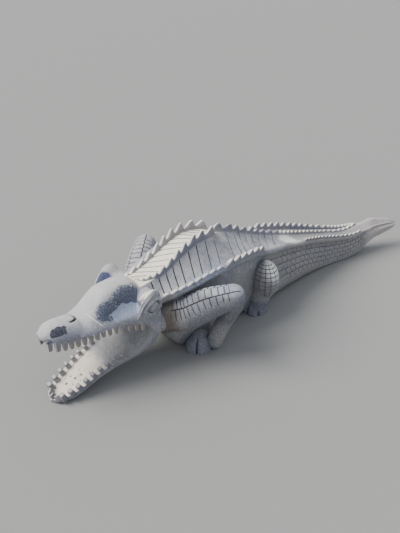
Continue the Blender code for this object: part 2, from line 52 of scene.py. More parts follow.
# Trunk and tail: the middle of the block, from the neck inside the head to the upturned tip. The ribs
# are chisel grooves across both sloping sides, the tail's sides are cut into five rows of brick-like
# scales, and a rounded ridge runs along each flank.
# One row for each station: place along Y, sideways place of the spine, height of the back, half width
# of the strip between the crests, half width and height of the flank ridge, half width and height of
# the lower flank, half width and height of the underside.
TRUNK = (
    (-41, 0.0, 30.4, 4.2, 8.5, 26.3, 7.5, 17.0, 3.0, 14.5),
    (-36, 0.0, 31.2, 4.7, 10.6, 27.2, 8.0, 15.0, 3.0, 12.0),
    (-31, 0.0, 32.2, 5.1, 12.3, 27.9, 8.5, 12.0, 3.4, 7.2),
    (-28.5, 0.0, 33.1, 5.2, 12.9, 28.4, 8.8, 10.0, 4.2, 4.4),
    (-26, 0.0, 34.2, 5.2, 13.5, 28.9, 9.0, 8.4, 5.0, 1.4),
    (-24, 0.0, 35.2, 5.2, 13.9, 29.3, 9.2, 7.8, 5.2, 0.0),
    (-20, 0.0, 36.8, 5.2, 14.4, 30.0, 9.5, 7.0, 5.0, 0.0),
    (-14, 0.0, 38.2, 5.0, 14.9, 30.7, 9.8, 6.0, 5.5, 0.0),
    (-8, 0.0, 37.7, 4.1, 14.8, 30.7, 9.8, 5.5, 5.8, 0.0),
    (-2, 0.0, 36.0, 1.6, 14.3, 30.2, 9.5, 5.5, 5.8, 0.0),
    (6, 0.0, 32.9, 0.9, 13.4, 29.2, 9.0, 5.5, 5.2, 0.0),
    (16, 0.0, 28.3, 0.8, 11.4, 25.8, 9.2, 5.4, 5.2, 0.0),
    (30, 0.0, 22.8, 0.8, 9.3, 21.8, 8.7, 5.5, 2.5, 0.0),
    (40, 0.0, 19.1, 0.8, 8.4, 18.9, 7.9, 5.0, 2.9, 0.0),
    (50, 0.2, 15.8, 0.8, 7.4, 15.8, 7.0, 2.7, 3.6, 0.0),
    (60, 1.2, 12.9, 0.8, 6.7, 12.7, 6.4, 1.3, 5.3, 0.0),
    (65, 2.8, 11.9, 0.8, 6.2, 11.7, 5.9, 1.3, 4.8, 0.0),
    (70, 4.8, 11.5, 0.7, 5.2, 11.2, 4.9, 2.0, 3.6, 0.0),
    (74, 6.2, 12.0, 0.6, 4.4, 11.5, 4.2, 3.5, 2.4, 0.4),
    (78, 7.3, 13.2, 0.6, 3.7, 11.6, 3.8, 6.0, 2.0, 3.0),
    (82, 8.4, 14.1, 0.8, 3.0, 12.0, 3.6, 8.0, 1.6, 5.2),
    (87, 10.5, 13.2, 0.8, 2.4, 11.9, 3.0, 9.4, 1.3, 6.8),
    (91, 12.5, 12.2, 0.6, 1.5, 11.3, 2.0, 9.9, 0.9, 8.2),
    (93, 13.6, 11.0, 0.3, 0.6, 10.7, 0.8, 10.1, 0.4, 9.5),
)
NECK, TIP = -40.5, 93.0
RIB_TOPS = (-35.2, -32.2, -29.2, -26.3, -23.2, -19.1, -15.4, -10.9, -6.1, 2.6, 6.7, 9.4, 12.6, 16.3,
            19.8, 23.5, 27.9)
RIB_EDGE, RIB_FLOOR, RIB_DEPTH = 0.27, 0.08, 0.5
RIB_LEAN, RIB_LEAN_FULL, RIB_LEAN_END = (0.9, 6.4), 3.0, 62.0
RIB_OPENS, RIB_CLOSES = (-0.05, 0.08), (0.82, 0.95)
SCALE_FIRST, SCALE_LAST, SCALE_PITCH, SCALE_ROWS = 30.5, 77.0, 2.7, 5
SCALE_EDGE, SCALE_DEPTH, SCALE_CROWN, SCALE_JOINT = 0.2, 0.26, 0.12, 0.12
SCALES_BEGIN, SCALES_END = (12, 20), (74, 79)
HERRINGBONE_FIRST, HERRINGBONE_DEPTH = 44.0, 0.2
PANEL_SAG, PANEL_STEP = 1.1, 1.2
RIDGE_OVERHANG, RIDGE_ROUND, RIDGE_LIFT = 1.9, 1.15, 0.25
RIDGE_START, RIDGE_TURN, RIDGE_MELTS = 110, 200, (70, 80)
FLANK_BULGE = 0.5
TIP_STEPS = 20


def curves(table):
    """Monotone cubics through the columns of a station table, read by column number and place."""
    places = [row[0] for row in table]
    spans = [after - place for place, after in zip(places, places[1:])]
    columns = []
    for values in zip(*table):
        slopes = [(after - value) / span for value, after, span in zip(values, values[1:], spans)]
        tangents = [0.0 if left * right <= 0 else 2 * left * right / (left + right)
                    for left, right in zip(slopes, slopes[1:])]
        columns.append((values, [slopes[0]] + tangents + [slopes[-1]]))

    def read(column, place):
        values, tangents = columns[column]
        index = min(max(bisect_right(places, place) - 1, 0), len(spans) - 1)
        span = spans[index]
        t = min(1.0, max(0.0, (place - places[index]) / span))
        return (values[index] * (1 + 2 * t) * (1 - t) ** 2 + tangents[index] * span * t * (1 - t) ** 2
                + values[index + 1] * t * t * (3 - 2 * t) + tangents[index + 1] * span * t * t * (t - 1))
    return read


def ramp(value, start, end):
    """0 before start, 1 after end, and a smooth climb between them."""
    t = min(1.0, max(0.0, (value - start) / (end - start)))
    return t * t * (3 - 2 * t)


trunk_at = curves(TRUNK)
FORMS = []
UPPER_KIND, LOWER_KIND, CREST_KIND = 1.0, 2.0, 3.0
WELD = 1e-4


def face_outward(mesh):
    """Turn the faces of a closed form outwards."""
    bmesh.ops.recalc_face_normals(mesh, faces=mesh.faces[:])
    if mesh.calc_volume(signed=True) < 0:
        bmesh.ops.reverse_faces(mesh, faces=mesh.faces[:])


def add_form(name, mesh, kind=0.0):
    """Keep one closed form of the statue, drawn in parts, for the joining at the end. Teeth and crests
    carry their kind in the layer that holds the relief, and the stone's colours read it."""
    if kind:
        cut = mesh.verts.layers.float.get("cut") or mesh.verts.layers.float.new("cut")
        for vert in mesh.verts:
            vert[cut] = kind
    face_outward(mesh)
    data = bpy.data.meshes.new(name)
    mesh.to_mesh(data)
    mesh.free()
    form = bpy.data.objects.new(name, data)
    bpy.context.scene.collection.objects.link(form)
    FORMS.append(form)
    return form


def wrap_grid(name, rows, columns, point, relief=None, kind=0.0):
    """Bend a grid round into a closed form: rows run along it, columns go round it. The relief is how
    far each point of the finished skin stands proud, or is cut in, square to the skin."""
    mesh = bmesh.new()
    bmesh.ops.create_grid(mesh, x_segments=len(rows) - 1, y_segments=len(columns), size=1.0)
    cut = mesh.verts.layers.float.new("cut")
    for vert in mesh.verts:
        row = rows[round((vert.co.x + 1) / 2 * (len(rows) - 1))]
        column = columns[round((vert.co.y + 1) / 2 * len(columns)) % len(columns)]
        vert.co = point(row, column)
        vert[cut] = relief(row, column) if relief else 0.0
    bmesh.ops.remove_doubles(mesh, verts=mesh.verts[:], dist=WELD)
    ends = bmesh.ops.holes_fill(mesh, edges=[edge for edge in mesh.edges if edge.is_boundary])
    bmesh.ops.poke(mesh, faces=ends["faces"])
    face_outward(mesh)
    mesh.normal_update()
    for vert, shift in [(vert, vert.normal * vert[cut]) for vert in mesh.verts]:
        vert.co += shift
    return add_form(name, mesh, kind)


def rib_slant(place):
    """How far forward a rib groove runs between the crest and the flank ridge."""
    if place > RIB_TOPS[-1]:
        return RIB_LEAN[1] * (1 - ramp(place, RIB_TOPS[-1], RIB_LEAN_END))
    share = (place - RIB_TOPS[0]) / (RIB_LEAN_FULL - RIB_TOPS[0])
    lean = RIB_LEAN[0] + (RIB_LEAN[1] - RIB_LEAN[0]) * share
    return min(lean, RIB_LEAN[1]) * ramp(place, NECK, RIB_TOPS[0])


def trunk_rows():
    """Stations along the trunk, each with what is cut there: a rib, a scale's joint or nothing."""
    rows = [(NECK, ""), (-38.5, ""), (-36.5, "")]
    for index, top in enumerate(RIB_TOPS):
        rows += [(top - RIB_EDGE, ""), (top - RIB_FLOOR, "rib"), (top + RIB_FLOOR, "rib"),
                 (top + RIB_EDGE, "")]
        after = RIB_TOPS[index + 1] if index + 1 < len(RIB_TOPS) else SCALE_FIRST
        gap = after - top - 2 * RIB_EDGE
        count = max(1, round(gap / PANEL_STEP))
        rows += [(top + RIB_EDGE + gap * step / count, "") for step in range(1, count)]
    count = round((SCALE_LAST - SCALE_FIRST) / SCALE_PITCH)
    pitch = (SCALE_LAST - SCALE_FIRST) / count
    for index in range(count):
        for start, joint in ((0.0, "even"), (0.5, "odd")):
            place = SCALE_FIRST + pitch * (index + start)
            rows += [(place - SCALE_EDGE, ""), (place, joint), (place + SCALE_EDGE, ""),
                     (place + pitch / 4, "crown")]
    rows += [(SCALE_LAST + (TIP - SCALE_LAST) * step / TIP_STEPS, "") for step in range(1, TIP_STEPS + 1)]
    return rows


def trunk_columns():
    """Places round the trunk: side, zone, share of the zone and the scale row that it is in."""
    half = [("back", 0.0, 0), ("back", 0.5, 0)]
    half += [("panel", step / 12, 0) for step in range(12)]
    half += [("ridge", step / 6, 0) for step in range(6)]
    for row in range(SCALE_ROWS):
        half += [("flank", (row + share) / SCALE_ROWS, row + 1)
                 for share in (0.0, SCALE_JOINT, 0.5, 1 - SCALE_JOINT)]
    half += [("belly", step / 4, 0) for step in range(4)]
    near = [(1, *column) for column in half]
    far = [(-1, *column) for column in half[1:]]
    return near + [(1, "belly", 1.0, 0), (1, "sole", 0.0, 0), (-1, "belly", 1.0, 0)] + far[::-1]


def trunk_point(row, column):
    """The place of a point on the trunk, whose shares run down from the back to the sole."""
    place = row[0]
    side, zone, t, _ = column
    slant = rib_slant(place)
    back = {"back": 0.0, "panel": t, "ridge": 1.0, "flank": 1 - t, "belly": 0.0, "sole": 0.0}[zone]
    y = place - slant * back
    spine, top, strip, ridge, ridge_z, flank, flank_z, sole, sole_z = (
        trunk_at(number, y) for number in range(1, 10))
    fade = 1 - ramp(y, *RIDGE_MELTS)
    bead = RIDGE_ROUND * min(1.0, ridge / 7)
    middle = (ridge - bead, ridge_z - bead)
    if zone == "back":
        x, z = strip * t, top
    elif zone == "panel":
        end_x, end_z = middle[0] - 0.3 * bead, middle[1] + bead
        sag = PANEL_SAG * 4 * t * (1 - t) * min(1.0, (ridge - strip) / 12) * fade
        x, z = strip + (end_x - strip) * t, top + (end_z - top) * t - sag
        z += RIDGE_LIFT * fade * ramp(t, 0.85, 1.0)
    elif zone == "ridge":
        angle = math.radians(RIDGE_START - RIDGE_TURN * t)
        x = middle[0] + bead * math.cos(angle)
        z = middle[1] + bead * math.sin(angle) + RIDGE_LIFT * fade * (1 - t)
    elif zone == "flank":
        start_x = ridge - bead - RIDGE_OVERHANG * 0.6 * min(1.0, ridge / 8) * fade
        start_z = ridge_z - 2 * bead
        x = start_x + (flank - start_x) * t + FLANK_BULGE * 4 * t * (1 - t)
        z = start_z + (flank_z - start_z) * t
    elif zone == "belly":
        angle = t * math.pi / 2
        x = sole + (flank - sole) * math.cos(angle) ** 0.8
        z = sole_z + (flank_z - sole_z) * (1 - math.sin(angle))
    else:
        x, z = 0.0, sole_z
    return Vector((spine + side * x, y, z))


def trunk_relief(row, column):
    """Ribs on the upper sides, herringbone lines behind them and scales down the flank."""
    place, kind = row
    _, zone, t, scale_row = column
    if zone == "panel":
        if kind == "rib" and t < RIB_CLOSES[1]:
            return -RIB_DEPTH * ramp(t, *RIB_OPENS) * (1 - ramp(t, *RIB_CLOSES))
        if kind in ("even", "odd") and 0.1 < t < RIB_CLOSES[1]:
            return -HERRINGBONE_DEPTH * ramp(place, HERRINGBONE_FIRST - 6, HERRINGBONE_FIRST)
        return 0.0
    if zone != "flank":
        return 0.0
    fade = ramp(place, *SCALES_BEGIN) * (1 - ramp(place, *SCALES_END))
    share = t * SCALE_ROWS - (scale_row - 1)
    if share < 0.01:
        return -SCALE_DEPTH * fade
    if kind in ("even", "odd") and (scale_row % 2 == 0) == (kind == "even"):
        return -SCALE_DEPTH * fade
    return SCALE_CROWN * fade if 0.3 < share < 0.7 and kind in ("crown", "even", "odd") else 0.0


wrap_grid("trunk", trunk_rows(), trunk_columns(), trunk_point, trunk_relief)

# Crests: rows of shark-fin teeth left standing when the back was cut down on either side of them. Two
# rows run over the shoulders and close into one along the spine, and one more lies along the far
# flank of the tail. Each tooth climbs gently from the front and drops steeply behind.
SPINE_TIPS = (0.15, 5.8, 9.3, 13.5, 16.9, 20.1, 23.6, 27.6, 31.7)
SPINE_FINE = (34.1, 75.0, 18)
NEAR_SHOULDER_TIPS = (-38.6, -37.8, -36.6, -34.7, -32.6, -29.6, -26.2, -23.0, -20.0, -15.8, -12.0, -6.0)
FAR_SHOULDER_TIPS = (-40.4, -38.4, -35.0, -31.3, -28.0, -24.5, -21.5, -18.0, -14.0, -9.3, -5.4)
FAR_TAIL_TIPS = (26.5, 29.7, 33.2, 36.7, 40.1, 43.5, 46.8, 50.0, 53.1, 56.2, 59.2, 62.1, 65.0)
FAR_TAIL_FINE = (66.5, 76.0, 8)
TOOTH_FRONT = 0.72
CREST_THICKNESS, CREST_ROOT, CREST_INSET, NOTCH_SHARE = 1.7, 1.4, 0.65, 0.34
CREST_BEND = ((-38.9, -2.8), (-38.4, -1.4), (-37.9, 0.2), (-36.7, 2.2), (-34.6, 3.4), (-32.8, 4.4),
              (-31.0, 4.6))
TOOTH_RISE = ((-0.46, 0.3), (-0.28, 0.66), (-0.1, 0.94), (0.0, 1.0), (0.08, 0.93))
TOOTH_DROP = ((0.6, 0.5), (0.85, 0.1), (1.0, 0.0))
CREST_SECTION = ((-0.55, None), (-0.55, 0.0), (-0.45, 0.55), (-0.34, 0.86), (-0.18, 1.0), (0.18, 1.0),
                 (0.34, 0.86), (0.45, 0.55), (0.55, 0.0), (0.55, None))
bend_at = curves(CREST_BEND)


def even_places(first, last, count):
    return tuple(first + (last - first) * index / (count - 1) for index in range(count))


def tooth_outline(tips, height):
    """Places and heights along a row of teeth: up the front of each, round its point and down."""
    def level(up):
        return rise * (NOTCH_SHARE + (1 - NOTCH_SHARE) * up)

    outline = []
    for index, tip in enumerate(tips):
        gap = tip - tips[index - 1] if index else tips[1] - tip
        after = tips[index + 1] - tip if index + 1 < len(tips) else gap
        if index == 0:
            outline.append((tip - gap * TOOTH_FRONT, -0.3))
        rise = height(tip)
        outline += [(tip + gap * along, level(up)) for along, up in TOOTH_RISE]
        outline += [(tip + after * (1 - TOOTH_FRONT) * along, level(up)) for along, up in TOOTH_DROP]
    outline.append((outline[-1][0] + 0.4, -0.3))
    return outline


def crest(name, tips, height, line, thickness=CREST_THICKNESS):
    """A row of teeth standing on a line; line gives the foot and the way up at a place."""
    def point(row, column):
        place, rise = row
        across, up = column
        foot, out = line(place)
        level = -CREST_ROOT if up is None else -0.2 + (rise + 0.2) * up
        return foot + out * level + Vector((across * thickness, 0, 0))
    wrap_grid(name, tooth_outline(tips, height), CREST_SECTION, point, kind=CREST_KIND)


def spine_line(place):
    """Middle of the back, which drifts to the far side near the end of the tail."""
    drift = 1.6 * max(0.0, (place - 66) / 9)
    return (Vector((trunk_at(1, place) - drift, place, trunk_at(2, place))),
            Vector((0, 0, 1)))


def shoulder_line(side):
    """Edge of the strip between the shoulder crests; the near one bends in across the neck."""
    def line(place):
        x = trunk_at(3, place) - CREST_INSET
        if side > 0 and place < CREST_BEND[-1][0]:
            x = min(x, bend_at(1, place))
        return Vector((side * x, place, trunk_at(2, place))), Vector((side * 0.06, 0, 1))
    return line


def ridge_line(side, inset, upright):
    """Top of the flank ridge."""
    def line(place):
        x = trunk_at(1, place) + side * (trunk_at(4, place) - inset)
        return (Vector((x, place, trunk_at(5, place))),
                Vector((side * (1 - upright), 0, upright)).normalized())
    return line


def shoulder_height(place):
    return 1.0 + 2.6 * min(1.0, max(0.0, (place + 39) / 21)) - 0.3 * ramp(place, -12, -4)


def spine_height(place):
    return 3.2 - 1.5 * ramp(place, 0, 32) - 0.7 * ramp(place, 34, 72)


def tail_height(place):
    return (0.9 + 1.8 * ramp(place, 24, 30)) * (1 - 0.6 * ramp(place, 40, 76))


crest("spine_crest", SPINE_TIPS + even_places(*SPINE_FINE), spine_height, spine_line)
crest("near_shoulder_crest", NEAR_SHOULDER_TIPS, shoulder_height, shoulder_line(1))
crest("far_shoulder_crest", FAR_SHOULDER_TIPS, shoulder_height, shoulder_line(-1))
crest("far_tail_crest", FAR_TAIL_TIPS + even_places(*FAR_TAIL_FINE), tail_height,
      ridge_line(-1, 1.2, 0.95))

# Flame teeth and tail teeth of the near ridge: long slanted points over the belly and a row of fine
# ones along the tail, cut into the rounded edge.
FLAME_TIPS = (-7.0, -3.2, 0.4, 3.8, 7.4, 10.6)
NEAR_TAIL_TEETH = (41.0, 73.0, 15)
NEAR_SMALL_POINTS = (-33.0, -12.0, 8)
crest("flame_teeth", FLAME_TIPS, lambda place: 2.3, ridge_line(1, 1.0, 0.75), 2.0)
crest("near_tail_teeth", even_places(*NEAR_TAIL_TEETH), lambda place: 1.7 - 0.5 * ramp(place, 50, 73),
      ridge_line(1, 1.0, 0.7), 1.2)
crest("near_points", even_places(*NEAR_SMALL_POINTS), lambda place: 1.0,
      ridge_line(1, 1.1, 0.8), 1.6)

# Strip between the shoulder crests: a flat band up the neck, cut with a dozen slanting lines.
STRIP_FIRST, STRIP_LAST, STRIP_LINES, STRIP_SLANT = -40.5, -3.0, 13, 7.0
STRIP_EDGE, STRIP_DEPTH, STRIP_LINE_REACH = 0.38, 0.5, 0.95
STRIP_PROUD, STRIP_SUNK = 0.25, 1.8


def strip_rows():
    """Stations along the strip, each with whether a line is cut there."""
    rows = []
    pitch = (STRIP_LAST - STRIP_FIRST) / STRIP_LINES
    for index in range(STRIP_LINES):
        place = STRIP_FIRST + pitch * (index + 0.5)
        rows += [(place - pitch / 2, False), (place - STRIP_EDGE, False), (place, True),
                 (place + STRIP_EDGE, False)]
    return rows + [(STRIP_LAST, False)]


def strip_point(row, column):
    """The strip's top just above the back, and its sunk underside, both on a slant."""
    place, _ = row
    across, sunk = column
    y = place + across * STRIP_SLANT / 2
    width = max(0.1, trunk_at(3, y) - CREST_INSET)
    if across > 0 and y < CREST_BEND[-1][0]:
        width = max(0.1, min(width, bend_at(1, y)))
    z = trunk_at(2, y) + STRIP_PROUD - (STRIP_SUNK if sunk else 0.0)
    return Vector((across * width, y, z))


def strip_relief(row, column):
    across, sunk = column
    return -STRIP_DEPTH if row[1] and not sunk and abs(across) < STRIP_LINE_REACH else 0.0


STRIP_ACROSS = [index / 5 - 1 for index in range(11)]
wrap_grid("strip", strip_rows(), [(across, False) for across in STRIP_ACROSS]
          + [(across, True) for across in (1.0, 0.0, -1.0)], strip_point, strip_relief)

# Upper jaw and skull: a long snout that widens into flat cheeks, with the steep dome of the forehead
# standing on it, all one rounded form. The lip is the lower edge, over the gap of the open mouth.
# Place along Y, half width, height of the top, height of the lip and how boxy the section is.
UPPER_JAW = (
    (-75.8, 0.9, 26.6, 25.4, 2.0), (-75.0, 2.4, 27.4, 25.0, 2.0), (-74.0, 3.6, 28.3, 24.5, 2.0),
    (-72.4, 4.6, 29.2, 24.0, 2.0), (-70, 5.3, 29.3, 23.5, 2.0), (-67, 5.8, 28.7, 23.0, 2.0),
    (-64, 6.3, 28.2, 22.6, 2.0), (-61, 6.9, 26.6, 22.3, 2.0), (-57, 7.4, 26.6, 22.5, 2.2),
    (-53, 8.3, 26.8, 22.2, 2.6), (-49, 9.4, 26.9, 21.8, 3.2), (-46, 10.6, 27.0, 21.2, 3.8),
    (-43, 11.5, 27.0, 20.2, 4.2), (-41.4, 11.9, 27.0, 18.2, 4.4), (-38.0, 12.0, 26.6, 14.0, 4.6),
    (-36.4, 11.5, 26.0, 14.0, 4.2), (-35.3, 10.0, 25.0, 15.5, 3.6),
)
# Place along Y, half width and height of the top.
DOME = (
    (-67.0, 3.0, 23.4), (-64.5, 4.2, 24.2), (-62.0, 5.2, 25.6), (-58.5, 6.0, 28.5), (-55.0, 6.5, 31.8),
    (-51.5, 6.8, 33.8), (-46.0, 6.8, 34.0), (-42.0, 6.6, 33.2), (-39.6, 5.6, 31.2), (-38.4, 4.0, 28.6),
    (-37.4, 2.0, 25.0),
)
DOME_BOXY, SKULL_BLEND, SKULL_WIDEST = 2.8, 4.0, 0.2
snout_at, dome_at = curves(UPPER_JAW), curves(DOME)
SKULL_COLUMNS = 76


def skull_point(place, column):
    """A boxy oval, wider at the lip, with the dome blended into its upper half."""
    angle = 2 * math.pi * (column + 0.5) / SKULL_COLUMNS
    across, up = math.sin(angle), math.cos(angle)
    half, top, lip, boxy = (snout_at(number, place) for number in range(1, 5))
    middle = lip + SKULL_WIDEST * (top - lip)
    height = top - middle if up > 0 else middle - lip
    reach = (abs(across / half) ** boxy + abs(up / height) ** boxy) ** (-1 / boxy)
    if up > 0 and DOME[0][0] < place < DOME[-1][0]:
        dome_half, dome_top = dome_at(1, place), dome_at(2, place)
        if dome_top > middle:
            dome = (abs(across / dome_half) ** DOME_BOXY
                    + abs(up / (dome_top - middle)) ** DOME_BOXY) ** (-1 / DOME_BOXY)
            reach = (reach ** SKULL_BLEND + dome ** SKULL_BLEND) ** (1 / SKULL_BLEND)
    return Vector((reach * across, place, middle + reach * up))


# Nostril: a crescent cut behind the bump at the end of the snout.
NOSTRIL_CENTRE, NOSTRIL_RADIUS, NOSTRIL_WIDTH, NOSTRIL_DEPTH = (-0.8, -65.2), 2.9, 0.42, 0.6


def skull_relief(place, column):
    point = skull_point(place, column)
    if point.z < 25 or place > -58:
        return 0.0
    x, y = point.x - NOSTRIL_CENTRE[0], place - NOSTRIL_CENTRE[1]
    behind = ramp(y + 0.25 * abs(x), -0.4, 0.8)
    ring = abs(math.hypot(x, y) - NOSTRIL_RADIUS) / NOSTRIL_WIDTH
    return -NOSTRIL_DEPTH * behind * max(0.0, 1 - ring * ring)


SKULL_ROWS = ([-75.8, -75.5, -75.1, -74.6, -74, -73.2, -72.3] + [-71.4 + 0.9 * step for step in range(5)]
              + [-67 + 0.4 * step for step in range(15)] + [-60.6 + 0.8 * step for step in range(25)]
              + [-40.8, -40.2, -39.6, -39.1, -38.6, -38.1, -37.6, -37.0, -36.4, -35.8, -35.3])
wrap_grid("skull", SKULL_ROWS, list(range(SKULL_COLUMNS)), skull_point, skull_relief)

# Eye turrets: an ear-like block on each cheek, flat and upright outside with the eye carved into it,
# and hollowed between its rim and the dome.
TURRET_RIM = ((-46.6, 24.4), (-45.6, 26.0), (-45.1, 27.0), (-44.2, 29.0), (-42.7, 30.9), (-41.3, 32.3),
              (-39.6, 33.0), (-38.2, 32.4), (-37.0, 30.2), (-36.4, 28.2))
TURRET_OUT, TURRET_IN, TURRET_ROOT, TURRET_FOOT, TURRET_ROUND = 12.25, 8.4, 3.0, 17.0, 0.7
SADDLE_LOW, SADDLE_HIGH = (-46.5, 26.6), (-40.0, 30.2)
rim_at = curves(TURRET_RIM)
FAR_TURRET_AHEAD = 2.8
EYE_CENTRE, EYE_HALF, EYE_TILT = (-40.2, 27.0), (2.9, 2.4), 0.25
BROW_EDGE, BROW_RISE = 1.0, 0.4
EYE_RING, EYE_GROOVE = (1.0, 0.15, 0.7), (0.74, 0.1, 0.5)
EYEBALL_REACH, EYEBALL_RISE, PUPIL_REACH, PUPIL_DEPTH = 0.62, 0.9, 0.55, 0.2
FOLD_CENTRE, FOLD_HALF, FOLD_WIDTH, FOLD_DEPTH = (-2.1, 26.4), (4.2, 3.7), 0.08, 0.6
OUTER_STEPS = 46


def turret_columns():
    outer = [("outer", step / OUTER_STEPS) for step in range(OUTER_STEPS)]
    return (outer + [("rim", step / 6) for step in range(6)] + [("inner", step / 9) for step in range(10)]
            + [("root", step / 3) for step in range(3)])


def turret_foot(place):
    return max(TURRET_FOOT, snout_at(3, place) + 0.8)


def turret_point(side):
    """The outer face follows the cheek; the inner one drops to a saddle beside the dome."""
    def point(place, column):
        zone, t = column
        rim, foot = rim_at(1, place), turret_foot(place)
        out = min(TURRET_OUT, snout_at(1, place) + 0.3)
        climbed = ramp(place, SADDLE_LOW[0], SADDLE_HIGH[0])
        saddle = min(SADDLE_LOW[1] + (SADDLE_HIGH[1] - SADDLE_LOW[1]) * climbed, rim - 0.4)
        radius = TURRET_ROUND
        top = (out - radius * 1.4, rim - radius * 0.2)
        if zone == "outer":
            x, z = out - 0.5 * (1 - ramp(t, 0.0, 0.12)), foot + (rim - radius - foot) * t
        elif zone == "rim":
            angle = math.pi * 0.6 * t
            x, z = out - radius + radius * math.cos(angle), rim - radius + radius * math.sin(angle)
        elif zone == "inner":
            x = (top[0] + (TURRET_IN - top[0]) * min(1.0, t * 1.5)
                 + (TURRET_ROOT - TURRET_IN) * max(0.0, 3 * t - 2))
            z = top[1] + (saddle - top[1]) * ramp(t, 0.0, 0.75)
        else:
            x, z = TURRET_ROOT, saddle + (foot - saddle) * (0.2 + 0.8 * t)
        rear = 1.6 * ramp(place, -37.6, -36.4)
        ahead = FAR_TURRET_AHEAD * (TURRET_RIM[-1][0] - place) / (TURRET_RIM[-1][0] - TURRET_RIM[0][0])
        return Vector((side * (x - rear), place - (ahead if side < 0 else 0.0), z))
    return point


def eye_relief(place, column):
    """The brow, the lid's ring with a groove inside it, the eyeball with its pupil, and the fold below."""
    zone, t = column
    if zone != "outer":
        return 0.0
    rim, foot = rim_at(1, place), turret_foot(place)
    z = foot + (rim - TURRET_ROUND - foot) * t
    y = place - EYE_CENTRE[0]
    up = z - EYE_CENTRE[1] - EYE_TILT * y
    corner = 1.0 - 0.28 * ramp(-y, 1.6, 3.2)
    round_eye = math.hypot(y / EYE_HALF[0], up / (EYE_HALF[1] * corner))
    height = BROW_RISE * (1 - ramp(rim - z, BROW_EDGE * 0.7, BROW_EDGE * 1.3)) * ramp(place, -46.6, -45.6)
    height += EYE_RING[2] * math.exp(-((round_eye - EYE_RING[0]) / EYE_RING[1]) ** 2)
    height -= EYE_GROOVE[2] * math.exp(-((round_eye - EYE_GROOVE[0]) / EYE_GROOVE[1]) ** 2)
    if round_eye < EYEBALL_REACH:
        height += EYEBALL_RISE * math.sqrt(1 - (round_eye / EYEBALL_REACH) ** 2)
        pupil = math.hypot(y / PUPIL_REACH, up / PUPIL_REACH)
        height -= PUPIL_DEPTH * math.exp(-pupil * pupil)
    fold = math.hypot((y - FOLD_CENTRE[0]) / FOLD_HALF[0], (z - FOLD_CENTRE[1]) / FOLD_HALF[1])
    if up < -1.5:
        ends = 1 - ramp(abs(y + 1.6), 2.6, 3.6)
        height -= FOLD_DEPTH * math.exp(-((fold - 1.0) / FOLD_WIDTH) ** 2) * ends
    return height


TURRET_ROWS = [TURRET_RIM[0][0] + 0.3 * step for step in range(35)]
for side in (1, -1):
    wrap_grid("turret", TURRET_ROWS, turret_columns(), turret_point(side), eye_relief)

# Lower jaw: a shallow spoon with a flat pitted floor and an upright rim, rising into the cheeks. Place
# along Y, half width, height of the rim, height of the floor, half width and height of the underside,
# and share of the half width that is floor.
LOWER_JAW = (
    (-75.2, 0.8, 1.3, 1.1, 0.6, 0.3, 0.7), (-74.4, 2.4, 1.7, 1.5, 1.9, 0.0, 0.7),
    (-72.6, 3.9, 2.1, 1.8, 2.9, 0.0, 0.7), (-70, 5.1, 3.0, 2.5, 3.9, 0.1, 0.7),
    (-66, 6.1, 4.5, 3.9, 4.6, 1.2, 0.7), (-62, 6.6, 6.3, 5.7, 5.0, 2.8, 0.7),
    (-58, 7.0, 7.7, 7.2, 5.3, 4.0, 0.72), (-54, 7.5, 8.7, 8.4, 5.8, 5.0, 0.76),
    (-50, 8.5, 9.3, 9.3, 6.6, 6.1, 0.82), (-48, 9.0, 9.7, 9.7, 7.0, 6.6, 0.88),
    (-46.3, 9.4, 10.1, 10.3, 7.4, 7.1, 0.92), (-44.5, 10.0, 11.0, 11.3, 7.8, 7.6, 0.93),
    (-43.1, 10.5, 12.2, 12.6, 8.0, 8.0, 0.93), (-42, 10.9, 13.5, 14.2, 8.3, 8.4, 0.93),
    (-41.1, 11.3, 15.0, 16.0, 8.5, 8.8, 0.93), (-40.6, 11.4, 18.0, 20.8, 8.6, 9.0, 0.92),
    (-38.4, 11.8, 20.0, 20.8, 9.0, 9.8, 0.9), (-36.6, 11.3, 20.0, 20.0, 8.4, 12.0, 0.9),
    (-35.4, 9.8, 19.5, 19.5, 7.4, 13.5, 0.9),
)
jaw_at = curves(LOWER_JAW)
JAW_PITS = ((-1.0, -68.2, 0.35), (1.1, -66.9, 0.3), (-2.0, -65.6, 0.3), (-0.2, -65.2, 0.4),
            (2.3, -64.5, 0.3), (0.6, -63.2, 0.35), (-1.4, -62.4, 0.25), (2.9, -61.0, 0.25),
            (-3.0, -67.3, 0.25))
PIT_DEPTH, JAW_KEEL, JAW_CORNER = 0.5, 1.1, 0.14


def jaw_columns():
    half = [("floor", step / 10) for step in range(1, 10)] + [("rim", step / 7) for step in range(8)]
    half += [("side", step / 9) for step in range(1, 10)] + [("under", step / 5) for step in range(1, 5)]
    return ([(1, "floor", 0.0)] + [(1, *column) for column in half] + [(1, "under", 1.0)]
            + [(-1, *column) for column in half[::-1]])


def jaw_point(place, column):
    """Floor, rolled rim, side and underside of the spoon, from the middle outwards."""
    side, zone, t = column
    half, rim, floor, under, base, flat = (jaw_at(number, place) for number in range(1, 7))
    inner = flat * half
    if zone == "floor":
        x, z = inner * t, floor - 0.25 * (1 - t * t)
    elif zone == "rim":
        lift = rim - floor
        angle = math.pi * t
        x = inner + (half - inner) * (0.5 - 0.5 * math.cos(angle))
        z = floor + lift * math.sin(angle / 2) ** 0.7 if t < 1 else rim - 0.15
    elif zone == "side":
        x = half + (under * JAW_KEEL - half) * t ** 2.2
        z = rim - 0.15 + (base + JAW_CORNER * (rim - base) - rim + 0.15) * t
    else:
        x = under * JAW_KEEL * math.cos(t * math.pi / 2) ** 0.7 if t < 1 else 0.0
        z = base + JAW_CORNER * (rim - base) * (1 - t) ** 2
    return Vector((side * x, place, z))


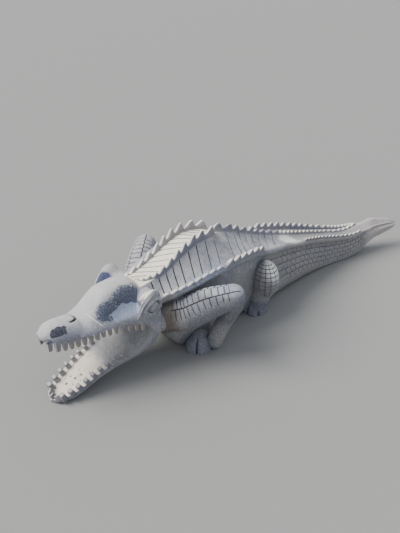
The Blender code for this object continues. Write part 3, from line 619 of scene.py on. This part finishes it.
def jaw_relief(place, column):
    if column[1] != "floor":
        return 0.0
    point = jaw_point(place, column)
    height = 0.12 * noise.noise(point * 0.6) + 0.06 * noise.noise(point * 1.9)
    for x, y, size in JAW_PITS:
        height -= PIT_DEPTH * math.exp(-((point.x - x) ** 2 + (point.y - y) ** 2) / size ** 2)
    return height


JAW_ROWS = [-75.2, -75.0, -74.7, -74.3, -73.8, -73.2] + [-72.6 + 0.5 * step for step in range(40)] + [
    -52.6 + 0.6 * step for step in range(20)] + [-40.9, -40.6, -39.8, -38.4, -37.5, -36.6, -36.0, -35.4]
wrap_grid("lower_jaw", JAW_ROWS, jaw_columns(), jaw_point, jaw_relief)

# Teeth: rounded pegs hanging from the upper lip, set close with deep gaps, and blocks like roof ridges
# round the rim of the lower jaw, with three short ones fanned out at its tip. All are cut in the block.
UPPER_TEETH, UPPER_FIRST, UPPER_LAST = 15, -74.0, -43.6
UPPER_TOOTH, UPPER_SHRINK = (2.2, 1.9, 4.6), 0.38
LOWER_TEETH, LOWER_FIRST, LOWER_LAST = 9, -72.4, -50.8
LOWER_TOOTH, LOWER_SHRINK = (2.3, 2.6, 3.1), 0.3
TIP_TOOTH, TIP_FAN = (1.8, 2.2, 2.2), -0.75
TOOTH_TURN, TOOTH_BEVEL = 0.1, 0.16
UPPER_TURN = Matrix.Rotation(math.pi, 3, "X")
LOWER_TURN = Matrix.Rotation(math.radians(22), 3, "X")


def tooth(kind, size, place, turn, taper, ridge):
    """A block with its free end drawn in, its corners rounded, turned and set in its place."""
    mesh = bmesh.new()
    bmesh.ops.create_cube(mesh, size=1.0)
    for vert in mesh.verts:
        if vert.co.z > 0:
            vert.co.x *= taper
            vert.co.y *= ridge
    bmesh.ops.bevel(mesh, geom=mesh.edges[:], offset=TOOTH_BEVEL, affect="EDGES", segments=2,
                    profile=0.5, material=-1, offset_type="OFFSET")
    bmesh.ops.scale(mesh, vec=size, verts=mesh.verts[:])
    bmesh.ops.rotate(mesh, cent=(0, 0, 0), matrix=turn, verts=mesh.verts[:])
    bmesh.ops.translate(mesh, vec=place, verts=mesh.verts[:])
    add_form("tooth", mesh, kind)


for index in range(UPPER_TEETH):
    share = index / (UPPER_TEETH - 1)
    place = UPPER_FIRST + (UPPER_LAST - UPPER_FIRST) * share
    out = snout_at(1, place) - 1.0
    lip = snout_at(3, place)
    width, depth, length = (value * (1 - UPPER_SHRINK * share) for value in UPPER_TOOTH)
    for side in (1, -1):
        turn = UPPER_TURN @ Matrix.Rotation(side * TOOTH_TURN, 3, "Z")
        root = (side * out, place, lip - length * 0.18)
        tooth(UPPER_KIND, (depth, width, length), root, turn, 0.6, 0.62)

for index in range(LOWER_TEETH):
    share = index / (LOWER_TEETH - 1)
    place = LOWER_FIRST + (LOWER_LAST - LOWER_FIRST) * share
    out = jaw_at(1, place) * 0.9
    rim = jaw_at(2, place)
    width, depth, length = (value * (1 - LOWER_SHRINK * share) for value in LOWER_TOOTH)
    for side in (1, -1):
        turn = Matrix.Rotation(side * TOOTH_TURN, 3, "Z") @ LOWER_TURN
        root = (side * out, place, rim + length * 0.15)
        tooth(LOWER_KIND, (depth, width, length), root, turn, 0.75, 0.66)

for fan in (-1, 0, 1):
    turn = Matrix.Rotation(fan * TIP_FAN, 3, "Z") @ Matrix.Rotation(0.5, 3, "X")
    root = (0.4 + fan * 2.1, -74.3 + 0.6 * abs(fan), 2.1 + 0.2 * abs(fan))
    tooth(LOWER_KIND, TIP_TOOTH, root, turn, 0.35, 0.8)

# Forelegs: folded with the elbow high, a thick upper arm lying back along the flank and a forearm
# coming down to the paw. Rows of brick-like scales run between long lines on the upper arm. The short
# plain shins of the hind legs are made the same way.
UPPER_ARM = (((9.0, -33.5, 18.5), 5.2), ((13.4, -27.6, 19.3), 5.8), ((18.5, -21.4, 22.9), 5.4),
             ((23.75, -15.25, 25.5), 4.2))
FOREARM = (((23.3, -15.1, 24.0), 3.7), ((21.7, -14.3, 18.6), 3.1), ((18.05, -14.9, 11.0), 2.9),
           ((16.0, -16.9, 3.8), 3.0))
SHIN = (((11.4, 12.2, 12.0), 4.2), ((10.4, 11.8, 7.0), 4.0), ((9.4, 11.3, 3.0), 3.9))
ARM_LINES = (-78.0, -38.0, 8.0, 49.0)
ARM_BRICKS, ARM_BRICK_FIRST, ARM_BRICK_LAST = 12, 0.12, 1.0
ARM_DEPTH, ARM_EDGE, ARM_BRICK_EDGE, ARM_ROUND = 0.42, 3.0, 0.012, 22
FOREARM_BANDS, FOREARM_BAND_EDGE, FOREARM_BAND_DEPTH = 15, 0.02, 0.16
LIMB_STEP, LIMB_CAP, LIMB_DOME = 0.02, math.radians(84), 0.92


def limb_path(spans, share):
    """Centre and radius of a limb at a share of its length, on a smooth curve through its spans."""
    count = len(spans) - 1
    index = min(int(share * count), count - 1)
    t = share * count - index
    ends = [spans[max(0, min(count, index + step))] for step in (-1, 0, 1, 2)]
    weights = (-0.5 * t + t * t - 0.5 * t ** 3, 1 - 2.5 * t * t + 1.5 * t ** 3,
               0.5 * t + 2 * t * t - 1.5 * t ** 3, -0.5 * t * t + 0.5 * t ** 3)
    centre = sum((Vector(point) * weight for (point, _), weight in zip(ends, weights)), Vector())
    return centre, sum(radius * weight for (_, radius), weight in zip(ends, weights))


def limb_point(spans, side):
    """Rows are (share, roundness of the end, what is cut); columns are angles from the top."""
    def point(row, angle):
        share, cap, _ = row
        centre, radius = limb_path(spans, share)
        along = (limb_path(spans, min(1.0, share + LIMB_STEP))[0]
                 - limb_path(spans, max(0.0, share - LIMB_STEP))[0]).normalized()
        up = Vector((0, 0, 1)) - along * along.z
        up.normalize()
        out = up.cross(along)
        turn = math.radians(angle)
        spoke = (up * math.cos(turn) + out * math.sin(turn)) * radius * math.cos(cap)
        place = centre + along * radius * math.sin(cap) * LIMB_DOME + spoke
        return Vector((side * place.x, place.y, place.z))
    return point


def end_rows(share, sign, steps=7):
    """Rows that round off one end of a limb."""
    caps = [LIMB_CAP * step / steps for step in range(1, steps + 1)]
    return [(share, sign * cap, "") for cap in (caps if sign > 0 else caps[::-1])]


def arm_rows():
    rows = end_rows(0.0, -1) + [(0.0, 0.0, ""), (0.06, 0.0, "")]
    pitch = (ARM_BRICK_LAST - ARM_BRICK_FIRST) / ARM_BRICKS
    for index in range(ARM_BRICKS):
        first = ARM_BRICK_FIRST + pitch * index
        for place, joint in ((first, "even"), (first + pitch / 2, "odd")):
            rows += [(place - ARM_BRICK_EDGE, 0.0, ""), (place, 0.0, joint),
                     (place + ARM_BRICK_EDGE, 0.0, "")]
    return rows + end_rows(1.0, 1)


def arm_columns():
    angles = set()
    for line in ARM_LINES:
        angles |= {line - ARM_EDGE, line, line + ARM_EDGE}
    for first, second in zip(ARM_LINES, ARM_LINES[1:]):
        angles |= {first + (second - first) * step / 4 for step in (1, 2, 3)}
    last = ARM_LINES[-1]
    angles |= {last + (360 + ARM_LINES[0] - last) * step / ARM_ROUND for step in range(1, ARM_ROUND)}
    return sorted(angles)


def arm_relief(row, angle):
    """Long lines, and the joints of the bricks between them, staggered from row to row."""
    share, cap, kind = row
    fade = ramp(share, 0.05, 0.2) * (1 - ramp(cap, 0.5, 1.2))
    if any(abs(angle - line) < 0.01 for line in ARM_LINES[1:]):
        return -ARM_DEPTH * fade
    for index, (first, second) in enumerate(zip(ARM_LINES, ARM_LINES[1:])):
        if first < angle < second and kind == ("even", "odd")[index % 2]:
            return -ARM_DEPTH * 0.7 * fade
    return 0.0


def forearm_rows():
    rows = end_rows(0.0, -1)
    for index in range(FOREARM_BANDS):
        place = (index + 0.5) / FOREARM_BANDS
        rows += [(place - FOREARM_BAND_EDGE, 0.0, ""), (place, 0.0, "band"),
                 (place + FOREARM_BAND_EDGE, 0.0, "")]
    return rows + end_rows(1.0, 1, 4)


def band_relief(row, angle):
    return -FOREARM_BAND_DEPTH if row[2] == "band" else 0.0


ROUND = [360 * step / 44 for step in range(44)]
for side in (1, -1):
    wrap_grid("upper_arm", arm_rows(), arm_columns(), limb_point(UPPER_ARM, side), arm_relief)
    wrap_grid("forearm", forearm_rows(), ROUND, limb_point(FOREARM, side), band_relief)
    wrap_grid("shin", end_rows(0.0, -1, 4) + [(step / 8, 0.0, "") for step in range(9)]
              + end_rows(1.0, 1, 4), ROUND[::2], limb_point(SHIN, side))

# Knees: tall rounded blocks on the flank, cut like a globe into a grid of lines.
KNEE_CENTRE, KNEE_RADII = (12.4, 12.4, 15.2), (5.4, 4.8, 7.8)
KNEE_BANDS, KNEE_MERIDIANS = 11, 14
KNEE_LOWEST, KNEE_SPAN = -72, 150
KNEE_BAND_EDGE, KNEE_MERIDIAN_EDGE, KNEE_DEPTH = 1.8, 2.4, 0.28


def knee_rows():
    rows = [(-86, ""), (-80, "")]
    pitch = KNEE_SPAN / KNEE_BANDS
    for index in range(KNEE_BANDS):
        place = KNEE_LOWEST + pitch * index
        rows += [(place - KNEE_BAND_EDGE, ""), (place, "line"), (place + KNEE_BAND_EDGE, ""),
                 (place + pitch / 2, "")]
    return rows + [(80, ""), (86, "")]


def knee_columns():
    pitch = 360 / KNEE_MERIDIANS
    columns = []
    for index in range(KNEE_MERIDIANS):
        place = pitch * index
        columns += [(place - KNEE_MERIDIAN_EDGE, ""), (place, "line"), (place + KNEE_MERIDIAN_EDGE, ""),
                    (place + pitch / 2, "")]
    return columns


def knee_point(side):
    def point(row, column):
        lift, turn = math.radians(row[0]), math.radians(column[0])
        x, y, z = (math.cos(lift) * math.cos(turn), math.cos(lift) * math.sin(turn), math.sin(lift))
        return Vector((side * (KNEE_CENTRE[0] + x * KNEE_RADII[0]), KNEE_CENTRE[1] + y * KNEE_RADII[1],
                       KNEE_CENTRE[2] + z * KNEE_RADII[2]))
    return point


def knee_relief(row, column):
    return -KNEE_DEPTH if "line" in (row[1], column[1]) and abs(row[0]) < 75 else 0.0


for side in (1, -1):
    wrap_grid("knee", knee_rows(), knee_columns(), knee_point(side), knee_relief)

# Paws: low mounds with the toes cut as lobes, each parted by a groove that runs up the back of the
# paw. Centre on the ground, half width, length forward, height and number of toes.
FOREFOOT = ((11.3, -19.6), 5.3, 5.9, 7.0, 5)
HINDFOOT = ((8.9, 11.2), 4.8, 4.9, 7.2, 6)
TOE_DEPTH, TOE_CUT, TOE_GROOVE = 0.13, 0.45, 0.28
PAW_LEVELS, PAW_STEPS, PAW_HEEL = 16, 80, -0.35


def toe_wave(angle, toes):
    """1 in the middle of a toe and 0 between two of them."""
    return abs(math.sin(angle * toes / 2 + math.pi * toes / 2))


def paw_point(foot, side):
    (x, y), half, forward, height, toes = foot

    def point(level, step):
        rise = level / (PAW_LEVELS - 1)
        share = math.sqrt(max(0.02, 1 - (0.98 * rise) ** 2))
        angle = 2 * math.pi * step / PAW_STEPS
        across, ahead = math.sin(angle), math.cos(angle)
        lobe = 1.0
        if ahead > PAW_HEEL:
            lobe = 1 - TOE_DEPTH * (1 - rise) * (1 - toe_wave(angle, toes)) ** 2
        return Vector((side * (x + across * half * share * lobe), y - ahead * forward * share * lobe,
                       height * (rise - 0.06)))
    return point


def paw_relief(foot):
    toes = foot[4]

    def relief(level, step):
        rise = level / (PAW_LEVELS - 1)
        angle = 2 * math.pi * step / PAW_STEPS
        if math.cos(angle) < PAW_HEEL:
            return 0.0
        groove = max(0.0, 1 - toe_wave(angle, toes) / TOE_GROOVE)
        return -TOE_CUT * groove * (1 - ramp(rise, 0.75, 1.0))
    return relief


for side in (1, -1):
    for name, foot in (("forefoot", FOREFOOT), ("hindfoot", HINDFOOT)):
        wrap_grid(name, list(range(PAW_LEVELS)), list(range(PAW_STEPS)), paw_point(foot, side),
                  paw_relief(foot))

# One block of stone: all the forms are joined into one closed skin, the underside is cut flat where it
# rests on the ground, and the whole is brought to its real size.
EDGE_ANGLE = math.radians(38)
GROUND = Vector((80, 240, 20))


def join_forms():
    """Join every form to the first and cut away what is below the ground."""
    body = FORMS[0]
    others = bpy.data.collections.new("forms")
    for form in FORMS[1:]:
        others.objects.link(form)
    ground = bmesh.new()
    bmesh.ops.create_cube(ground, size=1.0)
    bmesh.ops.scale(ground, vec=GROUND, verts=ground.verts[:])
    bmesh.ops.translate(ground, vec=(0, 0, -GROUND.z / 2), verts=ground.verts[:])
    cutter = add_form("ground", ground)
    join = body.modifiers.new("join", "BOOLEAN")
    join.operation, join.solver = "UNION", "MANIFOLD"
    join.operand_type, join.collection = "COLLECTION", others
    cut = body.modifiers.new("ground", "BOOLEAN")
    cut.operation, cut.solver, cut.object = "DIFFERENCE", "MANIFOLD", cutter
    evaluated = body.evaluated_get(bpy.context.evaluated_depsgraph_get())
    joined = bpy.data.meshes.new_from_object(evaluated)
    for form in FORMS:
        bpy.data.objects.remove(form)
    bpy.data.collections.remove(others)
    return joined


stone_mesh = join_forms()
stone_mesh.name = "crocodile_stone"
for vertex in stone_mesh.vertices:
    vertex.co *= PART
stone_mesh.shade_smooth()
stone_mesh.set_sharp_from_angle(angle=EDGE_ANGLE)
crocodile = bpy.data.objects.new("crocodile_stone", stone_mesh)
bpy.context.scene.collection.objects.link(crocodile)
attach(crocodile, "root")
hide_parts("crocodile")

# Stone: pale grey and matt, with dark slate stains on the head and paws, a cream wash that is partly
# painted light, dirt and painted shade dark in the cuts, paler raised edges, and painted light and
# painted shade on faces turned to and from the light. Places are in parts.
class Wire:
    """An output socket of the stone's shader: sums with it become maths nodes."""

    def __init__(self, tree, socket):
        self.tree, self.socket = tree, socket

    def node(self, kind, *inputs, output=0, **settings):
        """A node of any kind, fed from this wire and from others or plain values."""
        made = self.tree.nodes.new(kind)
        for name, value in settings.items():
            setattr(made, name, value)
        for place, value in inputs:
            if isinstance(value, Wire):
                self.tree.links.new(value.socket, made.inputs[place])
            else:
                made.inputs[place].default_value = value
        return Wire(self.tree, made.outputs[output])

    def maths(self, operation, *values):
        return self.node("ShaderNodeMath", *enumerate(values), operation=operation)

    def __add__(self, other):
        return self.maths("ADD", self, other)

    def __sub__(self, other):
        return self.maths("SUBTRACT", self, other)

    def __mul__(self, other):
        return self.maths("MULTIPLY", self, other)

    def __rsub__(self, other):
        return self.maths("SUBTRACT", other, self)

    __radd__, __rmul__ = __add__, __mul__


stone = bpy.data.materials.new("stone")
stone.use_nodes = True
stone_nodes = stone.node_tree
shader = stone_nodes.nodes["Principled BSDF"]
shader.inputs["Specular IOR Level"].default_value = 0.25


def climb(value, start, end):
    """0 below start and 1 above end."""
    return value.node("ShaderNodeMapRange", ("Value", value), ("From Min", start), ("From Max", end),
                      interpolation_type="SMOOTHSTEP")


def fall(value, start, end):
    """1 below start and 0 above end."""
    return 1.0 - climb(value, start, end)


def size_of(value):
    return value.maths("ABSOLUTE", value)


def either(*masks):
    """The stronger of several masks."""
    joined = masks[0]
    for mask in masks[1:]:
        joined = joined.maths("MAXIMUM", joined, mask)
    return joined


def paint(under, mask, colour):
    """Lay a colour over another where the mask is 1."""
    return mask.node("ShaderNodeMix", ("Factor", mask), (6, under), (7, colour), output=2,
                     data_type="RGBA")


def split(vector):
    return (vector.node("ShaderNodeSeparateXYZ", (0, vector), output=axis) for axis in range(3))


coordinates = Wire(stone_nodes, stone_nodes.nodes.new("ShaderNodeTexCoord").outputs["Object"])
spot = coordinates.node("ShaderNodeVectorMath", (0, coordinates), (3, 1 / PART), operation="SCALE")
x, y, z = split(spot)
facing = Wire(stone_nodes, stone_nodes.nodes.new("ShaderNodeNewGeometry").outputs["Normal"])
slope_x, slope_y, slope_z = split(facing)
relief = spot.node("ShaderNodeAttribute", attribute_name="cut", output=2)


def grain(scale, detail, rough=0.55, stretch=None):
    """Noise about 0, in parts."""
    place = spot
    if stretch:
        place = spot.node("ShaderNodeVectorMath", (0, spot), (1, stretch), operation="MULTIPLY")
    noisy = spot.node("ShaderNodeTexNoise", ("Vector", place), ("Scale", scale), ("Detail", detail),
                      ("Roughness", rough))
    return noisy - 0.5


cloud, mottle, speck = grain(0.12, 3), grain(0.55, 4), grain(2.6, 5, 0.7)
wobble = grain(0.35, 4) * 5.0
strokes = grain(1.1, 3, 0.6, (2.6, 2.6, 0.35))


def patch(centre, reach, soft=0.25, ragged=0.12):
    """A ragged blot: 1 inside an ellipsoid and 0 outside it."""
    away = spot.node("ShaderNodeVectorMath", (0, spot), (1, centre), operation="SUBTRACT")
    away = spot.node("ShaderNodeVectorMath", (0, away), (1, reach), operation="DIVIDE")
    far = spot.node("ShaderNodeVectorMath", (0, away), operation="LENGTH", output=1)
    return fall(far + wobble * ragged, 1.0 - soft, 1.0 + soft)


def of_kind(kind):
    """1 on the teeth that carry this kind, and 0 on the rest of the stone."""
    return climb(relief, kind - 0.4, kind - 0.1) * fall(relief, kind + 0.1, kind + 0.4)


# Ground tone of the stone: mottled grey, paler on faces turned up, streaked brown and pale on upright
# faces, and warmer low down.
GREY, LIGHT_GREY, LOW_GREY = (0.23, 0.24, 0.285, 1), (0.34, 0.34, 0.37, 1), (0.29, 0.275, 0.25, 1)
PALE, BROWN = (0.62, 0.61, 0.59, 1), (0.20, 0.165, 0.135, 1)
above, upright = climb(slope_z, 0.1, 0.9), fall(slope_z, 0.15, 0.5)
low = fall(z, 19.0, 25.0) * climb(y, -39.0, -36.0)
colour = paint(GREY, climb(mottle + cloud, -0.25, 0.3), LIGHT_GREY)
colour = paint(colour, above * climb(cloud + mottle * 0.5, -0.3, 0.1) * 0.3, PALE)
colour = paint(colour, upright * climb(strokes, 0.02, 0.22) * fall(z, 24.0, 28.0) * 0.6, BROWN)
colour = paint(colour, upright * climb(strokes, -0.05, -0.25) * 0.5, PALE)
colour = paint(colour, low * climb(cloud + mottle, -0.4, 0.1) * 0.55, LOW_GREY)

# Pale places, painted light and painted shade: the strip between the shoulder crests is cream, partly a
# wash on the stone and partly painted light; the far side and top of the head, the front slopes of the
# crest teeth and the inner face of the near ear are painted paler as painted light; a fan on the back and
# the tail's end are paler stone. The crest faces turned to +X, away from the light, get painted shade.
CREAM, WHITE, PINK = (0.93, 0.87, 0.74, 1), (0.9, 0.9, 0.88, 1), (0.50, 0.46, 0.45, 1)
SHADED_GREY = (0.19, 0.19, 0.25, 1)
strip = climb(z, 29.0, 30.5) * fall(y, -6.0, 2.0) * climb(y, -41.5, -39.5) * fall(size_of(x), 4.2, 5.0)
crests = climb(relief, CREST_KIND - 0.5, CREST_KIND - 0.1)
shaded = either(crests, strip) * climb(slope_x, 0.3, 0.6) * (1.0 - climb(x, 7.0, 9.0) * 0.8)
lit = crests * fall(slope_y, -0.35, -0.1) * fall(slope_x, 0.4, 0.7)
sunlit_head = fall(y, -41.0, -36.5) * climb(z, 24.0, 30.0)
fan = patch((4.2, 34.5, 21.0), (4.4, 4.6, 3.0), 0.45, 0.3) * above
tail_end = climb(y + mottle * 4.0, 74.0, 80.0)
sunlit_inner_ear = fall(slope_x, -0.3, 0.1) * climb(y, -46.0, -44.5) * fall(y, -39.5, -38.0) * (
    climb(z, 26.0, 27.5) * climb(x, 7.0, 8.0))
# Painted light: the far side and top of the head, turned to the light, painted paler.
colour = paint(colour, sunlit_head * fall(x + mottle * 3.0, 2.0, 5.0) * 0.55, PALE)
# Partly painted light: the strip is cream from a wash on the stone and from painted light, and the front
# slopes of the crest teeth, turned to the light, are painted cream.
colour = paint(colour, either(strip * 0.9, lit * 0.7), CREAM)
colour = paint(colour, shaded * 0.85, SHADED_GREY)
colour = paint(colour, fan * 0.7, WHITE)
colour = paint(colour, tail_end * 0.8, PINK)
# Painted light: the inner face of the near ear, turned to the light, painted cream.
colour = paint(colour, sunlit_inner_ear * 0.8, CREAM)

# Mouth: a pale floor that greys towards the corner, with brown pegs above it and grey blocks below.
# The teeth's darker colours are partly painted shade, and each tooth is painted paler on the side that
# faces the light as painted light.
MOUTH_PALE, MOUTH_DIRT = (0.80, 0.72, 0.62, 1), (0.26, 0.25, 0.22, 1)
UPPER_TOOTH_BROWN_AND_SHADE, LOWER_TOOTH_GREY_AND_SHADE = (0.30, 0.26, 0.22, 1), (0.20, 0.195, 0.225, 1)
mouth = fall(y, -42.5, -41.5) * fall(z, 16.0, 20.0) * climb(slope_z, 0.3, 0.8)
inside = fall(y, -40.2, -39.6) * climb(y + wobble * 0.3, -56.0, -52.0) * fall(z, 19.0, 21.5) * (
    fall(x, 10.6, 11.4))
upper_teeth, lower_teeth = of_kind(UPPER_KIND), of_kind(LOWER_KIND)
colour = paint(colour, mouth * fall(y + wobble * 0.4, -58.0, -54.0) * climb(mottle + speck, -0.45, 0.0),
               MOUTH_PALE)
colour = paint(colour, inside * climb(mottle + speck * 0.6, -0.2, 0.25) * 0.75, MOUTH_DIRT)
# Painted shade with the teeth's own colours: the pegs brown and the blocks grey, darker than the stone.
colour = paint(colour, upper_teeth * 0.9, UPPER_TOOTH_BROWN_AND_SHADE)
# Painted light: the front of each peg, turned to the light, painted cream.
colour = paint(colour, upper_teeth * climb(slope_y * -1.0, 0.3, 0.8) * 0.5, CREAM)
colour = paint(colour, lower_teeth * 0.95, LOWER_TOOTH_GREY_AND_SHADE)
# Painted light: the tops and fronts of the blocks, turned to the light, painted pale.
colour = paint(colour, lower_teeth * climb(slope_y * -0.7 + slope_z, 0.85, 1.2) * 0.55, PALE)

# Slate stains: near side of the dome down to its saddle, the snout and the four paws, with a pale blue
# scab below the dome's stain and a white crack across it. Painted shade: the near side of the snout and
# the inner face of the far ear, turned away from the light, and the nostril's sunk groove.
SLATE, SNOUT_SHADE_GREY, SNOUT_BLACK = (0.06, 0.075, 0.12, 1), (0.25, 0.25, 0.31, 1), (0.025, 0.03, 0.055, 1)
BLUE, FAR_EAR_SHADE, PAW_GREY = (0.34, 0.40, 0.54, 1), (0.07, 0.08, 0.17, 1), (0.15, 0.16, 0.21, 1)
PAW_STAINS = (((11.3, -19.8, 3.0), (7.2, 7.4, 7.0)), ((8.9, 11.0, 2.5), (6.6, 6.4, 6.0)))
dome_stain = patch((6.4, -46.0, 30.4), (4.6, 6.4, 4.2), 0.55, 0.1)
dome_tail = patch((6.0, -53.6, 28.6), (3.0, 4.4, 3.6), 0.5, 0.15)
over_saddle = climb(y + z * -0.85 + 67.35, 0.15, -0.15)
stained = climb(either(dome_stain, dome_tail) + speck * 2.5, 0.4, 0.65) * over_saddle * climb(x, 1.5, 3.5)
scab = patch((8.0, -48.9, 27.0), (3.6, 5.0, 2.3), 0.06, 0.25) * over_saddle
snout_stain = climb(patch((3.6, -70.6, 27.9), (1.7, 2.7, 1.4), 0.3, 0.3) + speck, 0.4, 0.6)
nose_spot = patch((3.4, -74.8, 25.6), (1.4, 1.2, 0.9), 0.3, 0.1)
nostril_shade = climb(relief * -1.0, 0.08, 0.3) * fall(y, -61.5, -60.5) * climb(z, 26.0, 27.0)
shaded_snout_side = climb(slope_x, 0.25, 0.7) * fall(y, -54.0, -51.0) * climb(z, 21.0, 22.5)
shaded_far_ear = patch((-9.8, -45.4, 28.6), (3.2, 5.2, 3.3), 0.12, 0.05) * climb(slope_x, -0.3, 0.2)
beside_crack = y * -0.806 + z * -0.592 - 31.18
crack = fall(size_of(beside_crack), 0.06, 0.2) * climb(x, 1.0, 1.5) * fall(x, 7.2, 7.8)
paws = fall(z + mottle * 2.0, 5.8, 7.2) * either(
    *(patch((side * place[0], *place[1:]), reach, 0.1, 0.05) for place, reach in PAW_STAINS
      for side in (1, -1)))
# Painted shade: the near side of the snout, turned away from the light, painted lavender grey.
colour = paint(colour, shaded_snout_side * climb(mottle + speck, -0.5, 0.15) * 0.65, SNOUT_SHADE_GREY)
# Slate stains on the dome and nose, and the nostril's groove painted slate as painted shade.
colour = paint(colour, either(stained, nose_spot * 0.8, nostril_shade) * 0.95, SLATE)
colour = paint(colour, snout_stain * 0.95, SNOUT_BLACK)
colour = paint(colour, scab * (0.8 + mottle * 0.4), BLUE)
# Painted shade: the inner face of the far ear, turned away from the light, painted dark blue.
colour = paint(colour, shaded_far_ear, FAR_EAR_SHADE)
colour = paint(colour, crack * climb(z, 22.0, 23.0) * 0.7, WHITE)
colour = paint(colour, paws * climb(mottle + speck, -0.5, 0.1) * 0.9, PAW_GREY)

# Dirt, painted shade and painted highlight: blue bloom on the ridge, grime on the upper arm, brown on
# the neck, dirt and painted shade dark in the cuts, paler raised edges, specks all over, and a painted
# highlight on the top of the knee.
BLOOM_BLUE, ARM_GREY, NECK_BROWN = (0.33, 0.38, 0.52, 1), (0.15, 0.155, 0.18, 1), (0.13, 0.105, 0.085, 1)
CUT_DIRT_AND_SHADE, SPECK_GREY = (0.045, 0.045, 0.055, 1), (0.17, 0.17, 0.19, 1)
bloom = climb(z, 27.0, 28.5) * fall(z, 31.5, 32.5) * climb(x, 10.5, 11.5) * climb(y, -30.0, -26.0) * (
    fall(y, -12.0, -6.0))
arm = climb(x, 11.5, 13.0) * climb(y, -33.0, -30.0) * fall(y, -12.0, -10.0) * (
    climb(z, 11.0, 15.0) * fall(z, 27.0, 28.0))
neck = patch((11.0, -34.0, 16.0), (5.5, 5.0, 10.5), 0.3, 0.1) * climb(y, -36.8, -36.2)
eye = patch((12.5, -41.0, 27.0), (2.0, 5.0, 4.5), 0.2, 0.0)
knee = patch((16.0, 13.8, 19.5), (4.5, 4.2, 5.5), 0.4, 0.1)
dirt_and_shade_in_cuts, raised = climb(relief * -1.0, 0.08, 0.28), climb(relief, 0.05, 0.12) * fall(relief, 0.2, 0.3)
colour = paint(colour, bloom * climb(mottle + speck * 0.5, -0.15, 0.15) * 0.6, BLOOM_BLUE)
colour = paint(colour, arm * climb(mottle + strokes, -0.5, 0.1) * 0.8, ARM_GREY)
colour = paint(colour, neck * climb(mottle + strokes, -0.5, 0.05) * 0.9, NECK_BROWN)
# Dirt and painted shade: the cuts painted near black, less on the eye.
colour = paint(colour, dirt_and_shade_in_cuts * (0.92 - eye * 0.5), CUT_DIRT_AND_SHADE)
colour = paint(colour, raised * 0.35, PALE)
colour = paint(colour, climb(speck, 0.03, 0.16) * 0.4, SPECK_GREY)
colour = paint(colour, climb(speck * -1.0, 0.03, 0.16) * (1.0 - neck) * 0.22, WHITE)
# Painted highlight: the top of the knee, on faces turned up, painted white.
colour = paint(colour, knee * climb(relief, -0.1, 0.0) * climb(slope_z, -0.1, 0.3) * 0.85, WHITE)

rough = 0.88 + mottle * 0.2
bumps = speck * 0.12 + grain(6.0, 3) * 0.06 + mottle * 0.2 + strokes * upright * 0.16
bump = bumps.node("ShaderNodeBump", ("Height", bumps), ("Strength", 1.0), ("Distance", 2.0 * PART))
stone_nodes.links.new(colour.socket, shader.inputs["Base Color"])
stone_nodes.links.new(rough.socket, shader.inputs["Roughness"])
stone_nodes.links.new(bump.socket, shader.inputs["Normal"])
stone_mesh.materials.clear()
stone_mesh.materials.append(stone)

# Floor, light and camera: a plain pale floor under a cool even sky, one broad warm sun from above the
# animal's far side and in front of its nose, and the camera at the photograph's viewing angle.
FLOOR_SIZE, FLOOR_GREY, FLOOR_ROUGH = 30.0, (0.255, 0.255, 0.25, 1), 0.9
SKY_COLOUR, SKY_STRENGTH = (0.86, 0.91, 1.0, 1), 0.85
SUN_FROM, SUN_STRENGTH, SUN_COLOUR, SUN_SOFTNESS = (-0.42, -0.50, 0.76), 5.0, (1.0, 0.97, 0.91), 40
floor_mesh = bmesh.new()
bmesh.ops.create_grid(floor_mesh, x_segments=1, y_segments=1, size=FLOOR_SIZE)
floor_data = bpy.data.meshes.new("floor")
floor_mesh.to_mesh(floor_data)
floor_mesh.free()
floor = bpy.data.objects.new("floor", floor_data)
bpy.context.scene.collection.objects.link(floor)
floor_paint = bpy.data.materials.new("floor")
floor_paint.use_nodes = True
floor_shader = floor_paint.node_tree.nodes["Principled BSDF"]
floor_shader.inputs["Base Color"].default_value = FLOOR_GREY
floor_shader.inputs["Roughness"].default_value = FLOOR_ROUGH
floor_data.materials.append(floor_paint)

world = bpy.data.worlds.new("studio")
bpy.context.scene.world = world
world.use_nodes = True
backdrop = world.node_tree.nodes["Background"]
backdrop.inputs["Color"].default_value = SKY_COLOUR
backdrop.inputs["Strength"].default_value = SKY_STRENGTH

sun = bpy.data.lights.new("key", "SUN")
sun.energy, sun.color, sun.angle = SUN_STRENGTH, SUN_COLOUR, math.radians(SUN_SOFTNESS)
lamp = bpy.data.objects.new("key", sun)
lamp.rotation_euler = Vector(SUN_FROM).to_track_quat("Z", "Y").to_euler()
bpy.context.scene.collection.objects.link(lamp)

CAMERA_PLACE = Vector((168.1, -158.9, 160.4))
CAMERA_ROUND, CAMERA_DOWN, CAMERA_ROLL = (math.radians(value) for value in (48.3, 31.2, -0.8))
IMAGE_HEIGHT, FOCAL_PIXELS, SENSOR = 533, 730, 36.0
back = Vector((math.sin(CAMERA_ROUND) * math.cos(CAMERA_DOWN),
               -math.cos(CAMERA_ROUND) * math.cos(CAMERA_DOWN), math.sin(CAMERA_DOWN)))
right = Vector((math.cos(CAMERA_ROUND), math.sin(CAMERA_ROUND), 0))
up = back.cross(right)
across = right * math.cos(CAMERA_ROLL) + up * math.sin(CAMERA_ROLL)
upward = up * math.cos(CAMERA_ROLL) - right * math.sin(CAMERA_ROLL)
lens = bpy.data.cameras.new("camera")
lens.sensor_width, lens.lens = SENSOR, FOCAL_PIXELS / IMAGE_HEIGHT * SENSOR
camera = bpy.data.objects.new("camera", lens)
camera.matrix_world = Matrix.Translation(CAMERA_PLACE * PART) @ Matrix(
    (across, upward, back)).transposed().to_4x4()
bpy.context.scene.collection.objects.link(camera)
bpy.context.scene.camera = camera

bpy.context.view_layer.update()
